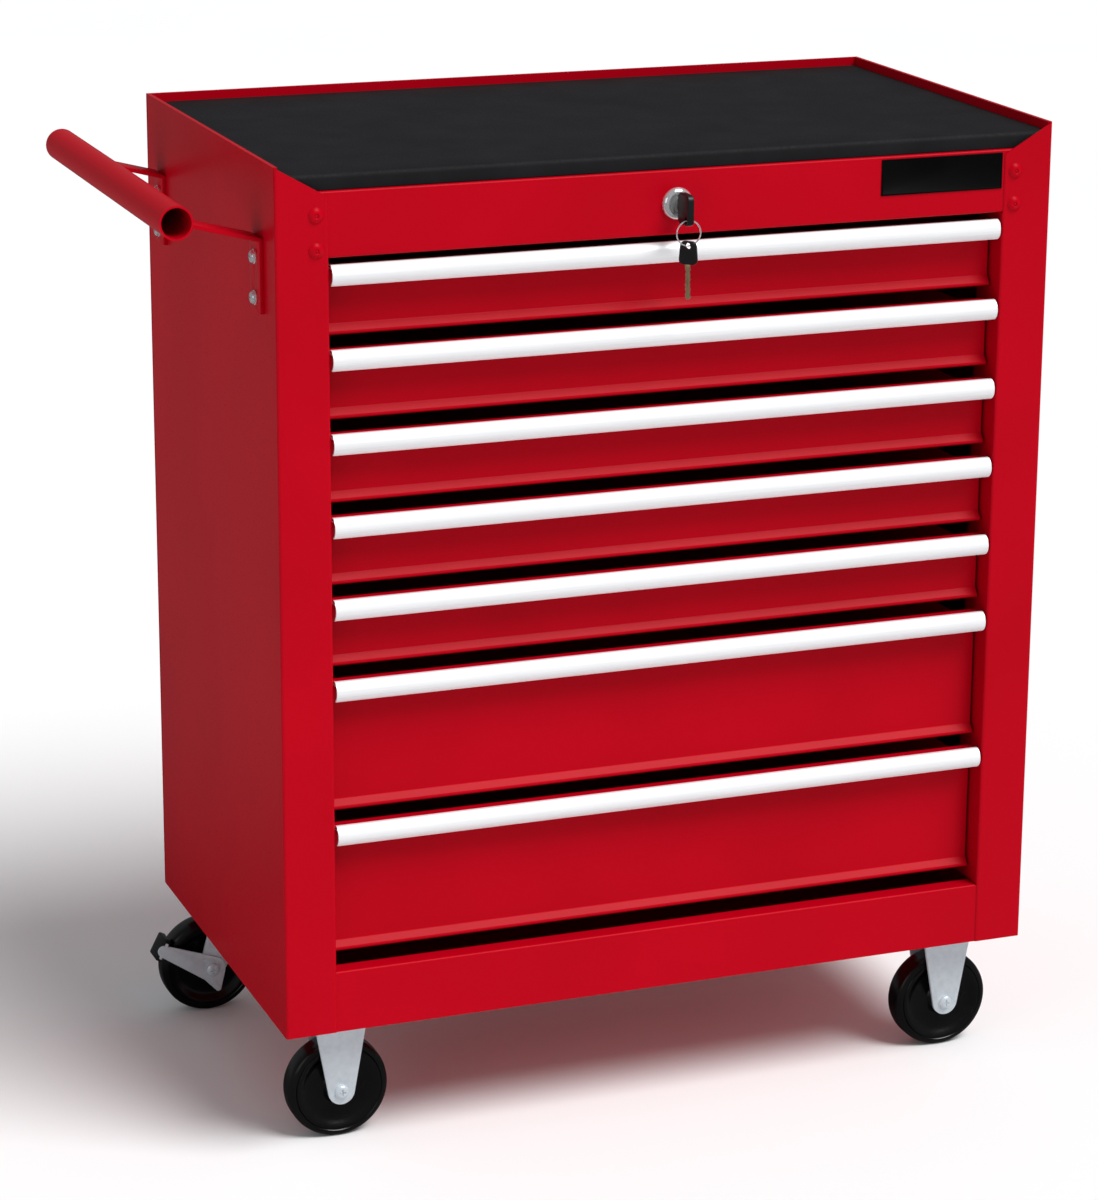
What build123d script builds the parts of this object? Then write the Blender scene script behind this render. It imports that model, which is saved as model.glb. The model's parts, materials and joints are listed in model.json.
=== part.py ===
"""Rolling tool chest: a sheet-steel cabinet with seven drawers, a side push handle and four casters.

The origin is on the floor, under the middle of the whole object's box (push handle and key included).
+X runs to the right, +Y to the back and +Z up. Sizes are in millimetres.
"""
from build123d import *
from math import atan2, cos, radians, sin
import os

os.makedirs("parts", exist_ok=True)

# ---------------------------------------------------------------------------------------------
# Driving dimensions
# ---------------------------------------------------------------------------------------------

# Cabinet body
body_w = 616.0              # outside width, without the push handle
body_d = 350.0              # outside depth of the sheet metal
body_h = 662.0              # underside to rim
sheet = 1.0                 # body sheet
bend_r = 2.0                # outside radius of the bends

# Front frame
flange_w = 40.0             # front flange of a side panel
return_d = 38.0             # lip that runs back from the flange's inner edge
corner_drop = 23.0          # fall of the flange's diagonal top edge over its own width
rear_flange_w = 20.0
rail_inset = 12.0           # a rail's end, from the outside of the body
rail_top_drop = 19.0        # rim to the top of the top rail
top_rail_h = 48.5
bottom_rail_h = 48.5
rail_flange = 14.0          # a rail's flanges, towards the back
relief = 0.5                # gap where two bent lips would meet

# Rim hem
hem_h = 8.0
hem_w = 3.0

# Worktop
mat_thick = 12.5
mat_gap = 0.6               # around the mat
mat_front = 3.4             # front of the frame to the front of the mat
mat_round = 3.0
tray_skirt = 14.0
tray_lap = 8.0              # the tray's joggled front strip, under the rail's flange

# Bottom pan
pan_sheet = 1.2
pan_skirt = 18.0

# Front rivets
rivet_in = 30.5             # from the outside of the body
rivet_drops = (36.0, 61.5)  # below the rim
rivet_head_d = 12.0
rivet_head_h = 2.6
rivet_shank_d = 5.0
rivet_tail_d = 8.0
rivet_tail_h = 2.0
rivet_dimple_d = 3.0
rivet_dimple_h = 0.8

# Badge plate
badge_w = 101.0
badge_h = 27.5
badge_thick = 0.8
badge_in = 41.5             # from the right side
badge_drop = 21.3           # below the rim

# Drawers
drawer_count = 7
small_count = 5
small_pitch = 62.5
first_gap = 5.5             # top rail to the first pull
last_gap = 11.3             # last drawer's lip to the bottom rail
drawer_gap = 8.8            # a drawer's lip to the pull below it
drawer_sheet = 0.8
front_side_gap = 2.2        # frame to the drawer front
front_recess = 18.0         # front of the frame to the drawer front
lip_out = 6.5               # forward kick of the front's lower edge
lip_h = 8.0
fold_r = 2.0
wall_drop = 7.5             # top of the pull to the top of the drawer's sides
rear_wall_drop = 10.0       # drawer's sides to its rear wall
drawer_rear = 32.0          # back of the body to the drawer's rear wall

# Pulls
pull_h = 15.5
pull_side_gap = 2.0         # frame to the pull's end
pull_top_y = 3.0            # behind the front of the frame
pull_out = 2.0              # the bulge, in front of the frame
pull_wall = 1.2
pull_bead = 2.6             # the bead over the edge of the drawer's flange
pull_rib = 10.0             # the rib under it

# Slides
slide_w = 12.7              # cabinet post to drawer side
slide_spare = 7.2           # a slide's top to the top of the drawer's sides
slide_gauge = 1.2
slide_nest = 2.2            # ball space between the nested members
slide_mesh = 8.0            # reach of each member's lips
slide_up = 4.0              # above the drawer's floor
slide_h = small_pitch - drawer_gap - wall_drop - slide_up - slide_spare
rail_start = 32.0           # behind the front of the frame
rail_end = 8.0              # in front of the back of the body
member_gap = 0.7            # behind the drawer front

# Slide posts
post_w = 24.0
post_back = 6.0             # in front of the back of the body

# Lock
lock_drop = 44.0            # below the rim
lock_head_d = 24.0
lock_head_h = 4.5
lock_head_lip = 1.2         # the head's straight rim, under its dome
lock_barrel_d = 19.0
lock_barrel_l = 24.0
lock_bore = 13.0
lock_run = 0.08             # radial clearance of the plug
lock_nut_af = 24.0
lock_nut_h = 4.0
plug_recess = 0.6
plug_tail = 2.0             # plug past the barrel
keyway_w = 2.6
keyway_h = 8.2
keyway_l = 22.0
key_run = 0.2               # clearance around the key's blade

# Tailpiece and lock bar
tail_d = 6.0
crank_r = 8.0
crank_thick = 3.0
crank_pin_d = 5.0
crank_pin_l = 9.0
crank_back = 14.0           # in front of the back of the body
bar_w = 26.0
bar_thick = 3.0
bar_back = 5.0              # in front of the back of the body
bar_run = 0.4
bar_top = 14.0              # above the lock's axis
bar_foot = 14.0             # below the top of the last hook
bar_slot_h = 9.4
strap_h = 20.0
strap_thick = 1.2
strap_after = (2, 6)        # the straps sit under these drawers' hooks
hook_w = 10.0
hook_thick = 3.0
hook_nose = 8.0
hook_lift = 1.5             # nose to the drawer's rear wall, unlocked
hook_gap = 2.0              # nose to the rear wall, along the drawer

# Keys
key_bow_l = 20.0
key_bow_h = 23.0
key_bow_t = 5.0
key_bow_out = 2.5           # lock's face to the bow
key_bow_low = 1.5           # the bow's middle, below the lock's axis
key_blade_l = 21.0
key_hole_d = 5.0
key_hole_in = 4.2           # hole to the bow's front and lower edges
key_round = 3.0
ring_od = 20.0
ring_wire = 1.2

# Push handle, on the left side
tube_od = 25.0
tube_wall = 1.5
tube_out = 70.0             # side panel to the tube's axis
tube_drop = 36.0            # below the rim
tube_inset = 5.0            # each end, inside the body's depth
bracket_w = 26.0
bracket_thick = 3.0
bracket_in = 29.0           # from the front and the back of the body
bracket_top_drop = 56.0
bracket_h = 55.0
bolt_drops = (71.0, 101.0)  # below the rim
bolt_d = 6.0
bolt_head_d = 11.0
bolt_head_h = 4.0
bolt_nut_d = 10.0
bolt_nut_h = 5.0
bolt_hole_d = 6.6

# Casters
wheel_d = 80.0
caster_head = 21.0          # top of the wheel to the underside of the body
floor_clear = wheel_d + caster_head
wheel_w = 22.0
wheel_round = 5.0
wheel_hub_d = 26.0
wheel_hub_w = 28.0
wheel_web = 8.0
tread_thick = 11.0          # the rim, from its inner radius out
axle_d = 8.0
axle_run = 0.08             # radial clearance of what turns on a pin
axle_head_d = 11.0
axle_head_h = 3.0
axle_nut_h = 5.0
leg_thick = 2.5
leg_gap = 29.0              # between a fork's legs
leg_top_w = 42.0
leg_foot_r = 10.5
plate_l = 60.0
plate_thick = 2.5
plate_bolt = 46.0           # bolt to bolt, both ways
plate_bolt_d = 6.0
plate_bolt_head_d = 9.0
plate_bolt_head_h = 3.5
plate_bolt_nut_h = 4.5
front_caster_x = 51.0       # from each side
front_caster_y = 43.0       # from the front
rear_caster_x = 50.0        # swivel axis, from each side
rear_caster_y = 34.0        # from the back
trail = 25.0                # swivel axis to axle
race_d = 40.0
race_h = 2.0
race_gap = 0.8
king_pin_d = 10.0
king_head_d = 16.0
king_head_h = 2.5
crown_d = 46.0
brake_gap = 0.4             # fork's leg to the brake lever
lever_thick = 2.0
lever_r = 11.0
lever_tail_r = 2.5
lever_tail_l = 18.0         # axle to the middle of the lever's tail
lever_tail_turn = -75.0     # degrees, from +X
lever_reach = wheel_d / 2 + 6.0   # axle to the middle of the brake pedal
lever_turn = 153.0          # degrees, from +X
lever_neck_r = 5.0
tab_w = 14.0
pedal_l = 20.0
pedal_thick = 7.0
pedal_round = 1.5
pedal_over = 3.0            # the pedal, past the lever's tab

# ---------------------------------------------------------------------------------------------
# Derived places
# ---------------------------------------------------------------------------------------------

handle_reach = tube_out + tube_od / 2
lock_face = sheet - lock_head_h                  # from the front of the frame
bow_back = lock_face - key_bow_out
bow_front = bow_back - key_bow_l
key_reach = -bow_front
x_left = (handle_reach - body_w) / 2
x_right = x_left + body_w
x_mid = (x_left + x_right) / 2
y_front = (key_reach - body_d) / 2
y_back = y_front + body_d
z_low = floor_clear
z_top = floor_clear + body_h

z_rail = z_top - rail_top_drop                   # top of the top rail
z_open_top = z_rail - top_rail_h
z_open_low = z_low + bottom_rail_h
open_left = x_left + flange_w
open_right = x_right - flange_w

large_count = drawer_count - small_count
stack_h = z_open_top - first_gap - z_open_low - last_gap + drawer_gap
large_pitch = (stack_h - small_count * small_pitch) / large_count
pitches = [small_pitch] * small_count + [large_pitch] * large_count
pull_tops = [z_open_top - first_gap - sum(pitches[:n]) for n in range(drawer_count)]
lips = [pull_tops[n] - pitches[n] + drawer_gap for n in range(drawer_count)]

box_left = open_left + slide_w
box_right = open_right - slide_w
box_back = y_back - drawer_rear
panel_y = y_front + front_recess                 # outer face of the drawer fronts

z_lock = z_top - lock_drop
crank_y = y_back - crank_back
bar_y = y_back - bar_back                        # back face of the lock bar
nose_back = box_back - drawer_sheet - hook_gap
hook_h = hook_nose + hook_thick
hook_tops = [top - wall_drop - rear_wall_drop + hook_lift + hook_h for top in pull_tops]

axle_z = wheel_d / 2
rigid_y = y_front + front_caster_y
swivel_y = y_back - rear_caster_y
rigid_xs = (x_left + front_caster_x, x_right - front_caster_x)
swivel_xs = (x_left + rear_caster_x, x_right - rear_caster_x)
leg_out = leg_gap / 2 + leg_thick                # fork's centre to the outside of a leg


def block(x0, x1, y0, y1, z0, z1, mode=Mode.ADD):
    """A box between two corners, in the open part."""
    with Locations(((x0 + x1) / 2, (y0 + y1) / 2, (z0 + z1) / 2)):
        Box(x1 - x0, y1 - y0, z1 - z0, mode=mode)


def rod(x, y0, y1, z, diameter, mode=Mode.ADD):
    """A cylinder along Y, in the open part."""
    with Locations(Location((x, (y0 + y1) / 2, z), (90, 0, 0))):
        Cylinder(diameter / 2, y1 - y0, mode=mode)


def post(x, y, z0, z1, diameter, mode=Mode.ADD):
    """A cylinder along Z, in the open part."""
    with Locations((x, y, (z0 + z1) / 2)):
        Cylinder(diameter / 2, z1 - z0, mode=mode)


def pin(x0, x1, y, z, diameter, mode=Mode.ADD):
    """A cylinder along X, in the open part."""
    with Locations(Location(((x0 + x1) / 2, y, z), (0, 90, 0))):
        Cylinder(diameter / 2, x1 - x0, mode=mode)


def save(built, label):
    """Label a finished piece and write it."""
    built.part.label = label
    export_step(built.part, f"parts/{label}.step")


# ---------------------------------------------------------------------------------------------
# Body shell
# ---------------------------------------------------------------------------------------------


def side_shell():
    """The left side panel, without its handle holes: wall, flanges, lip and hem in one sheet."""
    with BuildPart() as shell:
        with BuildSketch(Plane.XY.offset(z_low)):
            with BuildLine():
                FilletPolyline(
                    (open_left, y_front + return_d),
                    (open_left, y_front),
                    (x_left, y_front),
                    (x_left, y_back - sheet),
                    (x_left + rear_flange_w, y_back - sheet),
                    radius=bend_r,
                )
                offset(amount=sheet, side=Side.RIGHT)
            make_face()
        extrude(amount=body_h)
        # The lip and its bend stop short of both rails
        lip_left = open_left - bend_r
        lip_front = y_front + sheet
        lip_back = y_front + return_d
        block(lip_left, open_left, lip_front, lip_back, z_open_top - relief, z_top, Mode.SUBTRACT)
        block(lip_left, open_left, lip_front, lip_back, z_low, z_open_low + relief, Mode.SUBTRACT)
        # The flange's diagonal corner
        with BuildSketch(Plane.XZ.offset(-y_front - sheet)):
            with BuildLine():
                Polyline(
                    (x_left, z_top),
                    (open_left + sheet, z_top - corner_drop * (flange_w + sheet) / flange_w),
                    (open_left + sheet, z_top + sheet),
                    (x_left, z_top + sheet),
                    close=True,
                )
            make_face()
        extrude(amount=2 * sheet, mode=Mode.SUBTRACT)
        # The rear flange and its bend stop under the rim
        block(
            x_left + sheet, x_left + rear_flange_w + sheet, y_back - sheet - bend_r, y_back,
            z_top - hem_h - relief, z_top, Mode.SUBTRACT,
        )
        # The rim is folded inwards and down
        hem_front = y_front + bend_r
        hem_back = y_back - hem_w
        block(x_left + hem_w - sheet, x_left + hem_w, hem_front, hem_back, z_top - hem_h, z_top)
        block(x_left, x_left + hem_w, hem_front, hem_back, z_top - sheet, z_top)
    return shell.part


left_shell = side_shell()
bolt_ys = (y_front + bracket_in + bracket_w / 2, y_back - bracket_in - bracket_w / 2)

with BuildPart() as left_side_panel:
    add(left_shell)
    for bolt_y in bolt_ys:
        for bolt_drop in bolt_drops:
            pin(x_left - sheet, x_left + 2 * sheet, bolt_y, z_top - bolt_drop, bolt_hole_d, Mode.SUBTRACT)
    for rivet_drop in rivet_drops:
        rod(x_left + rivet_in, y_front - sheet, y_front + 2 * sheet, z_top - rivet_drop,
            rivet_shank_d, Mode.SUBTRACT)
save(left_side_panel, "left_side_panel")

with BuildPart() as right_side_panel:
    add(mirror(left_shell, about=Plane.YZ.offset(x_mid)))
    for rivet_drop in rivet_drops:
        rod(x_right - rivet_in, y_front - sheet, y_front + 2 * sheet, z_top - rivet_drop,
            rivet_shank_d, Mode.SUBTRACT)
save(right_side_panel, "right_side_panel")

# Each strap is halfway between two hooks
strap_zs = [(hook_tops[n - 1] + hook_tops[n] - hook_h - strap_h) / 2 for n in strap_after]

with BuildPart() as back_panel:
    block(x_left, x_right, y_back - sheet, y_back, z_low, z_top)
    # Hem along the rim, from side panel to side panel
    hem_left = x_left + sheet
    hem_right = x_right - sheet
    block(hem_left, hem_right, y_back - hem_w, y_back - sheet, z_top - sheet, z_top)
    block(hem_left, hem_right, y_back - hem_w, y_back - hem_w + sheet, z_top - hem_h, z_top)
    # Straps that guide the lock bar
    strap_half = bar_w / 2 + bar_run + strap_thick
    strap_front = bar_y - bar_thick - bar_run - strap_thick
    for strap_z in strap_zs:
        block(x_mid - strap_half, x_mid + strap_half, strap_front, y_back - sheet,
              strap_z, strap_z + strap_h)
        block(x_mid - bar_w / 2 - bar_run, x_mid + bar_w / 2 + bar_run, strap_front + strap_thick,
              y_back - sheet, strap_z, strap_z + strap_h, Mode.SUBTRACT)
save(back_panel, "back_panel")

with BuildPart() as bottom_panel:
    with BuildSketch(Plane.XY.offset(z_low)):
        pan_front = y_front + 2 * sheet
        pan_back = y_back - 2 * sheet
        with Locations((x_mid, (pan_front + pan_back) / 2)):
            Rectangle(body_w - 2 * sheet, pan_back - pan_front)
    extrude(amount=pan_skirt)
    fillet(bottom_panel.edges().filter_by(Axis.Z), radius=bend_r)
    fillet(bottom_panel.faces().sort_by(Axis.Z)[0].edges(), radius=bend_r)
    offset(amount=-pan_sheet, openings=bottom_panel.faces().sort_by(Axis.Z)[-1])
    for caster_x in rigid_xs + swivel_xs:
        caster_y = rigid_y if caster_x in rigid_xs else swivel_y
        with Locations((caster_x, caster_y, z_low)):
            with GridLocations(plate_bolt, plate_bolt, 2, 2):
                Cylinder(bolt_hole_d / 2, 4 * pan_sheet, mode=Mode.SUBTRACT)
save(bottom_panel, "bottom_panel")

with BuildPart() as front_top_rail:
    with BuildSketch(Plane.YZ.offset(x_left + rail_inset)):
        with BuildLine():
            FilletPolyline(
                (y_front + sheet + rail_flange, z_rail),
                (y_front + sheet, z_rail),
                (y_front + sheet, z_open_top),
                (y_front + sheet + rail_flange, z_open_top),
                radius=bend_r,
            )
            offset(amount=sheet, side=Side.LEFT)
        make_face()
    extrude(amount=body_w - 2 * rail_inset)
    rod(x_mid, y_front, y_front + 3 * sheet, z_lock, lock_barrel_d, Mode.SUBTRACT)
    for rivet_drop in rivet_drops:
        for rivet_x in (x_left + rivet_in, x_right - rivet_in):
            rod(rivet_x, y_front, y_front + 3 * sheet, z_top - rivet_drop, rivet_shank_d, Mode.SUBTRACT)
save(front_top_rail, "front_top_rail")

with BuildPart() as front_bottom_rail:
    with BuildSketch(Plane.YZ.offset(x_left + rail_inset)):
        with BuildLine():
            FilletPolyline(
                (y_front + sheet + rail_flange, z_open_low),
                (y_front + sheet, z_open_low),
                (y_front + sheet, z_low),
                radius=bend_r,
            )
            offset(amount=sheet, side=Side.LEFT)
        make_face()
    extrude(amount=body_w - 2 * rail_inset)
save(front_bottom_rail, "front_bottom_rail")

with BuildPart() as top_tray:
    tray_left = x_left + sheet
    tray_right = x_right - sheet
    tray_front = y_front + sheet + rail_flange
    tray_back = y_back - 2 * sheet
    block(tray_left, tray_right, tray_front, tray_back, z_rail - sheet, z_rail)
    fillet(top_tray.edges().filter_by(Axis.Z).group_by(Axis.Y)[-1], radius=bend_r)
    # Joggled strip under the rail's top flange
    block(open_left, open_right, tray_front - tray_lap, tray_front + sheet,
          z_rail - 2 * sheet, z_rail - sheet)
    # Skirts along the sides and the back
    skirt_low = z_rail - tray_skirt
    skirt_back = tray_back - bend_r
    block(tray_left, tray_left + sheet, tray_front, skirt_back, skirt_low, z_rail - sheet)
    block(tray_right - sheet, tray_right, tray_front, skirt_back, skirt_low, z_rail - sheet)
    block(tray_left + rear_flange_w, tray_right - rear_flange_w, tray_back - sheet, tray_back,
          skirt_low, z_rail - sheet)
save(top_tray, "top_tray")

with BuildPart() as top_mat:
    mat_left = x_left + hem_w + mat_gap
    mat_right = x_right - hem_w - mat_gap
    block(mat_left, mat_right, y_front + mat_front, y_back - hem_w - mat_gap, z_rail, z_rail + mat_thick)
    fillet(top_mat.edges().filter_by(Axis.X).group_by(Axis.Y)[0].group_by(Axis.Z)[-1], radius=mat_round)
save(top_mat, "top_mat")

post_front = y_back - post_back - post_w
post_rear = y_back - post_back

with BuildPart() as slide_posts:
    for side in (-1, 1):
        wall_x = (x_mid + side * (body_w / 2 - sheet))
        web_x = (x_mid + side * (body_w / 2 - flange_w))
        with BuildSketch(Plane.XY.offset(z_low + pan_skirt + relief)):
            with BuildLine():
                FilletPolyline(
                    (wall_x, post_front), (web_x, post_front), (web_x, post_rear), (wall_x, post_rear),
                    radius=bend_r,
                )
                offset(amount=sheet, side=Side.LEFT if side < 0 else Side.RIGHT)
            make_face()
        extrude(amount=z_rail - tray_skirt - relief - z_low - pan_skirt - relief)
save(slide_posts, "slide_posts")

# ---------------------------------------------------------------------------------------------
# Front fittings
# ---------------------------------------------------------------------------------------------

with BuildPart() as front_rivets:
    for rivet_x in (x_left + rivet_in, x_right - rivet_in):
        for rivet_drop in rivet_drops:
            rivet_z = z_top - rivet_drop
            dome_r = (rivet_head_d ** 2 / 4 + rivet_head_h ** 2) / (2 * rivet_head_h)
            with BuildSketch(Plane((rivet_x, y_front, rivet_z), x_dir=(1, 0, 0), z_dir=(0, 0, 1))):
                with BuildLine():
                    RadiusArc((rivet_head_d / 2, 0), (0, -rivet_head_h), dome_r)
                    Polyline(
                        (0, -rivet_head_h),
                        (0, 2 * sheet + rivet_tail_h),
                        (rivet_tail_d / 2, 2 * sheet + rivet_tail_h),
                        (rivet_tail_d / 2, 2 * sheet),
                        (rivet_shank_d / 2, 2 * sheet),
                        (rivet_shank_d / 2, 0),
                        (rivet_head_d / 2, 0),
                    )
                make_face()
            revolve(axis=Axis((rivet_x, y_front, rivet_z), (0, 1, 0)))
            rod(rivet_x, y_front - rivet_head_h, y_front - rivet_head_h + rivet_dimple_h, rivet_z,
                rivet_dimple_d, Mode.SUBTRACT)
save(front_rivets, "front_rivets")

with BuildPart() as badge_plate:
    badge_right = x_right - badge_in
    badge_top = z_top - badge_drop
    block(badge_right - badge_w, badge_right, y_front + sheet - badge_thick, y_front + sheet,
          badge_top - badge_h, badge_top)
    fillet(badge_plate.edges().filter_by(Axis.Y), radius=badge_thick)
save(badge_plate, "badge_plate")

lock_y = y_front + sheet                         # the lock's head sits on the rail here

with BuildPart() as lock_barrel:
    with BuildSketch(Plane((x_mid, lock_y, z_lock), x_dir=(1, 0, 0), z_dir=(0, 0, 1))):
        with BuildLine():
            Polyline(
                (lock_head_d / 2, -lock_head_lip),
                (lock_head_d / 2, 0),
                (lock_barrel_d / 2, 0),
                (lock_barrel_d / 2, lock_barrel_l),
                (lock_bore / 2, lock_barrel_l),
                (lock_bore / 2, -lock_head_h),
                (lock_bore / 2 + lock_head_lip, -lock_head_h),
            )
            ThreePointArc(
                (lock_bore / 2 + lock_head_lip, -lock_head_h),
                ((lock_head_d + lock_bore) / 4 + lock_head_lip, -lock_head_h + lock_head_lip / 2),
                (lock_head_d / 2, -lock_head_lip),
            )
        make_face()
    revolve(axis=Axis((x_mid, lock_y, z_lock), (0, 1, 0)))
save(lock_barrel, "lock_barrel")

with BuildPart() as lock_nut:
    with BuildSketch(Plane.XZ.offset(-(lock_y + sheet + lock_nut_h))):
        with Locations((x_mid, z_lock)):
            RegularPolygon(lock_nut_af / 2, 6, major_radius=False)
            Circle(lock_barrel_d / 2, mode=Mode.SUBTRACT)
    extrude(amount=lock_nut_h)
save(lock_nut, "lock_nut")

plug_front = lock_y - lock_head_h + plug_recess
plug_back = lock_y + lock_barrel_l + plug_tail

with BuildPart() as lock_plug:
    rod(x_mid, plug_front, plug_back, z_lock, lock_bore - 2 * lock_run)
    half_w = keyway_w / 2
    block(x_mid - half_w, x_mid + half_w, plug_front, plug_front + keyway_l,
          z_lock - keyway_h / 2, z_lock + keyway_h / 2, Mode.SUBTRACT)
save(lock_plug, "lock_plug")

with BuildPart() as lock_tailpiece:
    rod(x_mid, plug_back, crank_y, z_lock, tail_d)
    with BuildSketch(Plane.XZ.offset(-crank_y)):
        with Locations((x_mid + crank_r / 2, z_lock)):
            SlotCenterToCenter(crank_r, tail_d + crank_thick)
    extrude(amount=crank_thick)
    rod(x_mid + crank_r, crank_y, crank_y + crank_pin_l, z_lock, crank_pin_d)
save(lock_tailpiece, "lock_tailpiece")

with BuildPart() as lock_bar:
    block(x_mid - bar_w / 2, x_mid + bar_w / 2, bar_y - bar_thick, bar_y,
          hook_tops[-1] - bar_foot, z_lock + bar_top)
    # Slot for the crank's pin, as high as the pin wanders from an even drop
    slot_run = (bar_slot_h - crank_pin_d) / 2
    block(x_mid - crank_pin_d / 2 - slot_run, x_mid + crank_r + crank_pin_d / 2 + slot_run - sheet,
          bar_y - bar_thick, bar_y, z_lock - bar_slot_h / 2, z_lock + bar_slot_h / 2, Mode.SUBTRACT)
save(lock_bar, "lock_bar")

# One hook a drawer, welded to the bar: an arm forwards and a nose down in front of the rear wall
with BuildPart() as lock_bar_hooks:
    for hook_top in hook_tops:
        block(x_mid - hook_w / 2, x_mid + hook_w / 2, nose_back - hook_thick, bar_y - bar_thick,
              hook_top - hook_thick, hook_top)
        block(x_mid - hook_w / 2, x_mid + hook_w / 2, nose_back - hook_thick, nose_back,
              hook_top - hook_h, hook_top)
save(lock_bar_hooks, "lock_bar_hooks")

# ---------------------------------------------------------------------------------------------
# Keys
# ---------------------------------------------------------------------------------------------

bow_front_y = y_front + bow_front
bow_back_y = y_front + bow_back
bow_low_z = z_lock - key_bow_low - key_bow_h / 2
ring_y = bow_front_y + key_hole_in
ring_hole_z = bow_low_z + key_hole_in
ring_r = (ring_od - ring_wire) / 2
ring_z = ring_hole_z - ring_r

with BuildPart() as key:
    block(x_mid - key_bow_t / 2, x_mid + key_bow_t / 2, bow_front_y, bow_back_y,
          bow_low_z, bow_low_z + key_bow_h)
    fillet(key.edges().filter_by(Axis.X), radius=key_round)
    blade_half = keyway_w / 2 - key_run
    block(x_mid - blade_half, x_mid + blade_half, bow_back_y - key_round, bow_back_y + key_blade_l,
          z_lock - keyway_h / 2 + key_run, z_lock + keyway_h / 2 - key_run)
    pin(x_mid - key_bow_t, x_mid + key_bow_t, ring_y, ring_hole_z, key_hole_d, Mode.SUBTRACT)
save(key, "key")

with BuildPart() as key_ring:
    with BuildSketch(Plane((x_mid, ring_y, ring_z), x_dir=(1, 0, 0), z_dir=(0, 0, 1))):
        with Locations((ring_r, 0)):
            Circle(ring_wire / 2)
    revolve(axis=Axis((x_mid, ring_y, ring_z), (0, 1, 0)))
save(key_ring, "key_ring")

# ---------------------------------------------------------------------------------------------
# Push handle
# ---------------------------------------------------------------------------------------------

tube_x = x_left - tube_out
tube_z = z_top - tube_drop

with BuildPart() as handle_tube:
    rod(tube_x, y_front + tube_inset, y_back - tube_inset, tube_z, tube_od)
    rod(tube_x, y_front + tube_inset, y_back - tube_inset, tube_z, tube_od - 2 * tube_wall, Mode.SUBTRACT)
save(handle_tube, "handle_tube")

bracket_top = z_top - bracket_top_drop


# Two flat bars, each bolted to the side at one end and bent out and up to the tube at the other
with BuildPart() as handle_brackets:
    for bolt_y in bolt_ys:
        with BuildSketch(Plane.XZ.offset(-bolt_y - bracket_w / 2)):
            with BuildLine():
                FilletPolyline(
                    (x_left, bracket_top - bracket_h),
                    (x_left, bracket_top),
                    (tube_x, tube_z - bracket_thick / 2),
                    radius=bracket_thick,
                )
                offset(amount=bracket_thick, side=Side.LEFT)
            make_face()
        extrude(amount=bracket_w)
        for bolt_drop in bolt_drops:
            pin(x_left - 2 * bracket_thick, x_left + sheet, bolt_y, z_top - bolt_drop, bolt_hole_d,
                Mode.SUBTRACT)
    rod(tube_x, y_front, y_back, tube_z, tube_od, Mode.SUBTRACT)
save(handle_brackets, "handle_brackets")

with BuildPart() as handle_bolts:
    for bolt_y in bolt_ys:
        for bolt_drop in bolt_drops:
            bolt_z = z_top - bolt_drop
            head_x = x_left - bracket_thick
            pin(head_x - bolt_head_h, head_x, bolt_y, bolt_z, bolt_head_d)
            pin(head_x, x_left + sheet, bolt_y, bolt_z, bolt_d)
            pin(x_left + sheet, x_left + sheet + bolt_nut_h, bolt_y, bolt_z, bolt_nut_d)
save(handle_bolts, "handle_bolts")

# ---------------------------------------------------------------------------------------------
# Drawers
# ---------------------------------------------------------------------------------------------

front_left = open_left + front_side_gap
front_right = open_right - front_side_gap
pull_left = open_left + pull_side_gap
pull_right = open_right - pull_side_gap
member_start = panel_y + drawer_sheet + member_gap


def slide_profile(web_x, inward, z_mid, height):
    """A slide member's C section: its web at web_x, its lips towards +X or -X."""
    half = height / 2
    lip_x = web_x + inward * slide_mesh
    with BuildSketch(Plane.XZ.offset(-member_start)) as section:
        with BuildLine():
            FilletPolyline(
                (lip_x, z_mid + half), (web_x, z_mid + half), (web_x, z_mid - half), (lip_x, z_mid - half),
                radius=slide_gauge,
            )
            offset(amount=slide_gauge, side=Side.LEFT if inward > 0 else Side.RIGHT)
        make_face()
    return section.sketch


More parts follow.
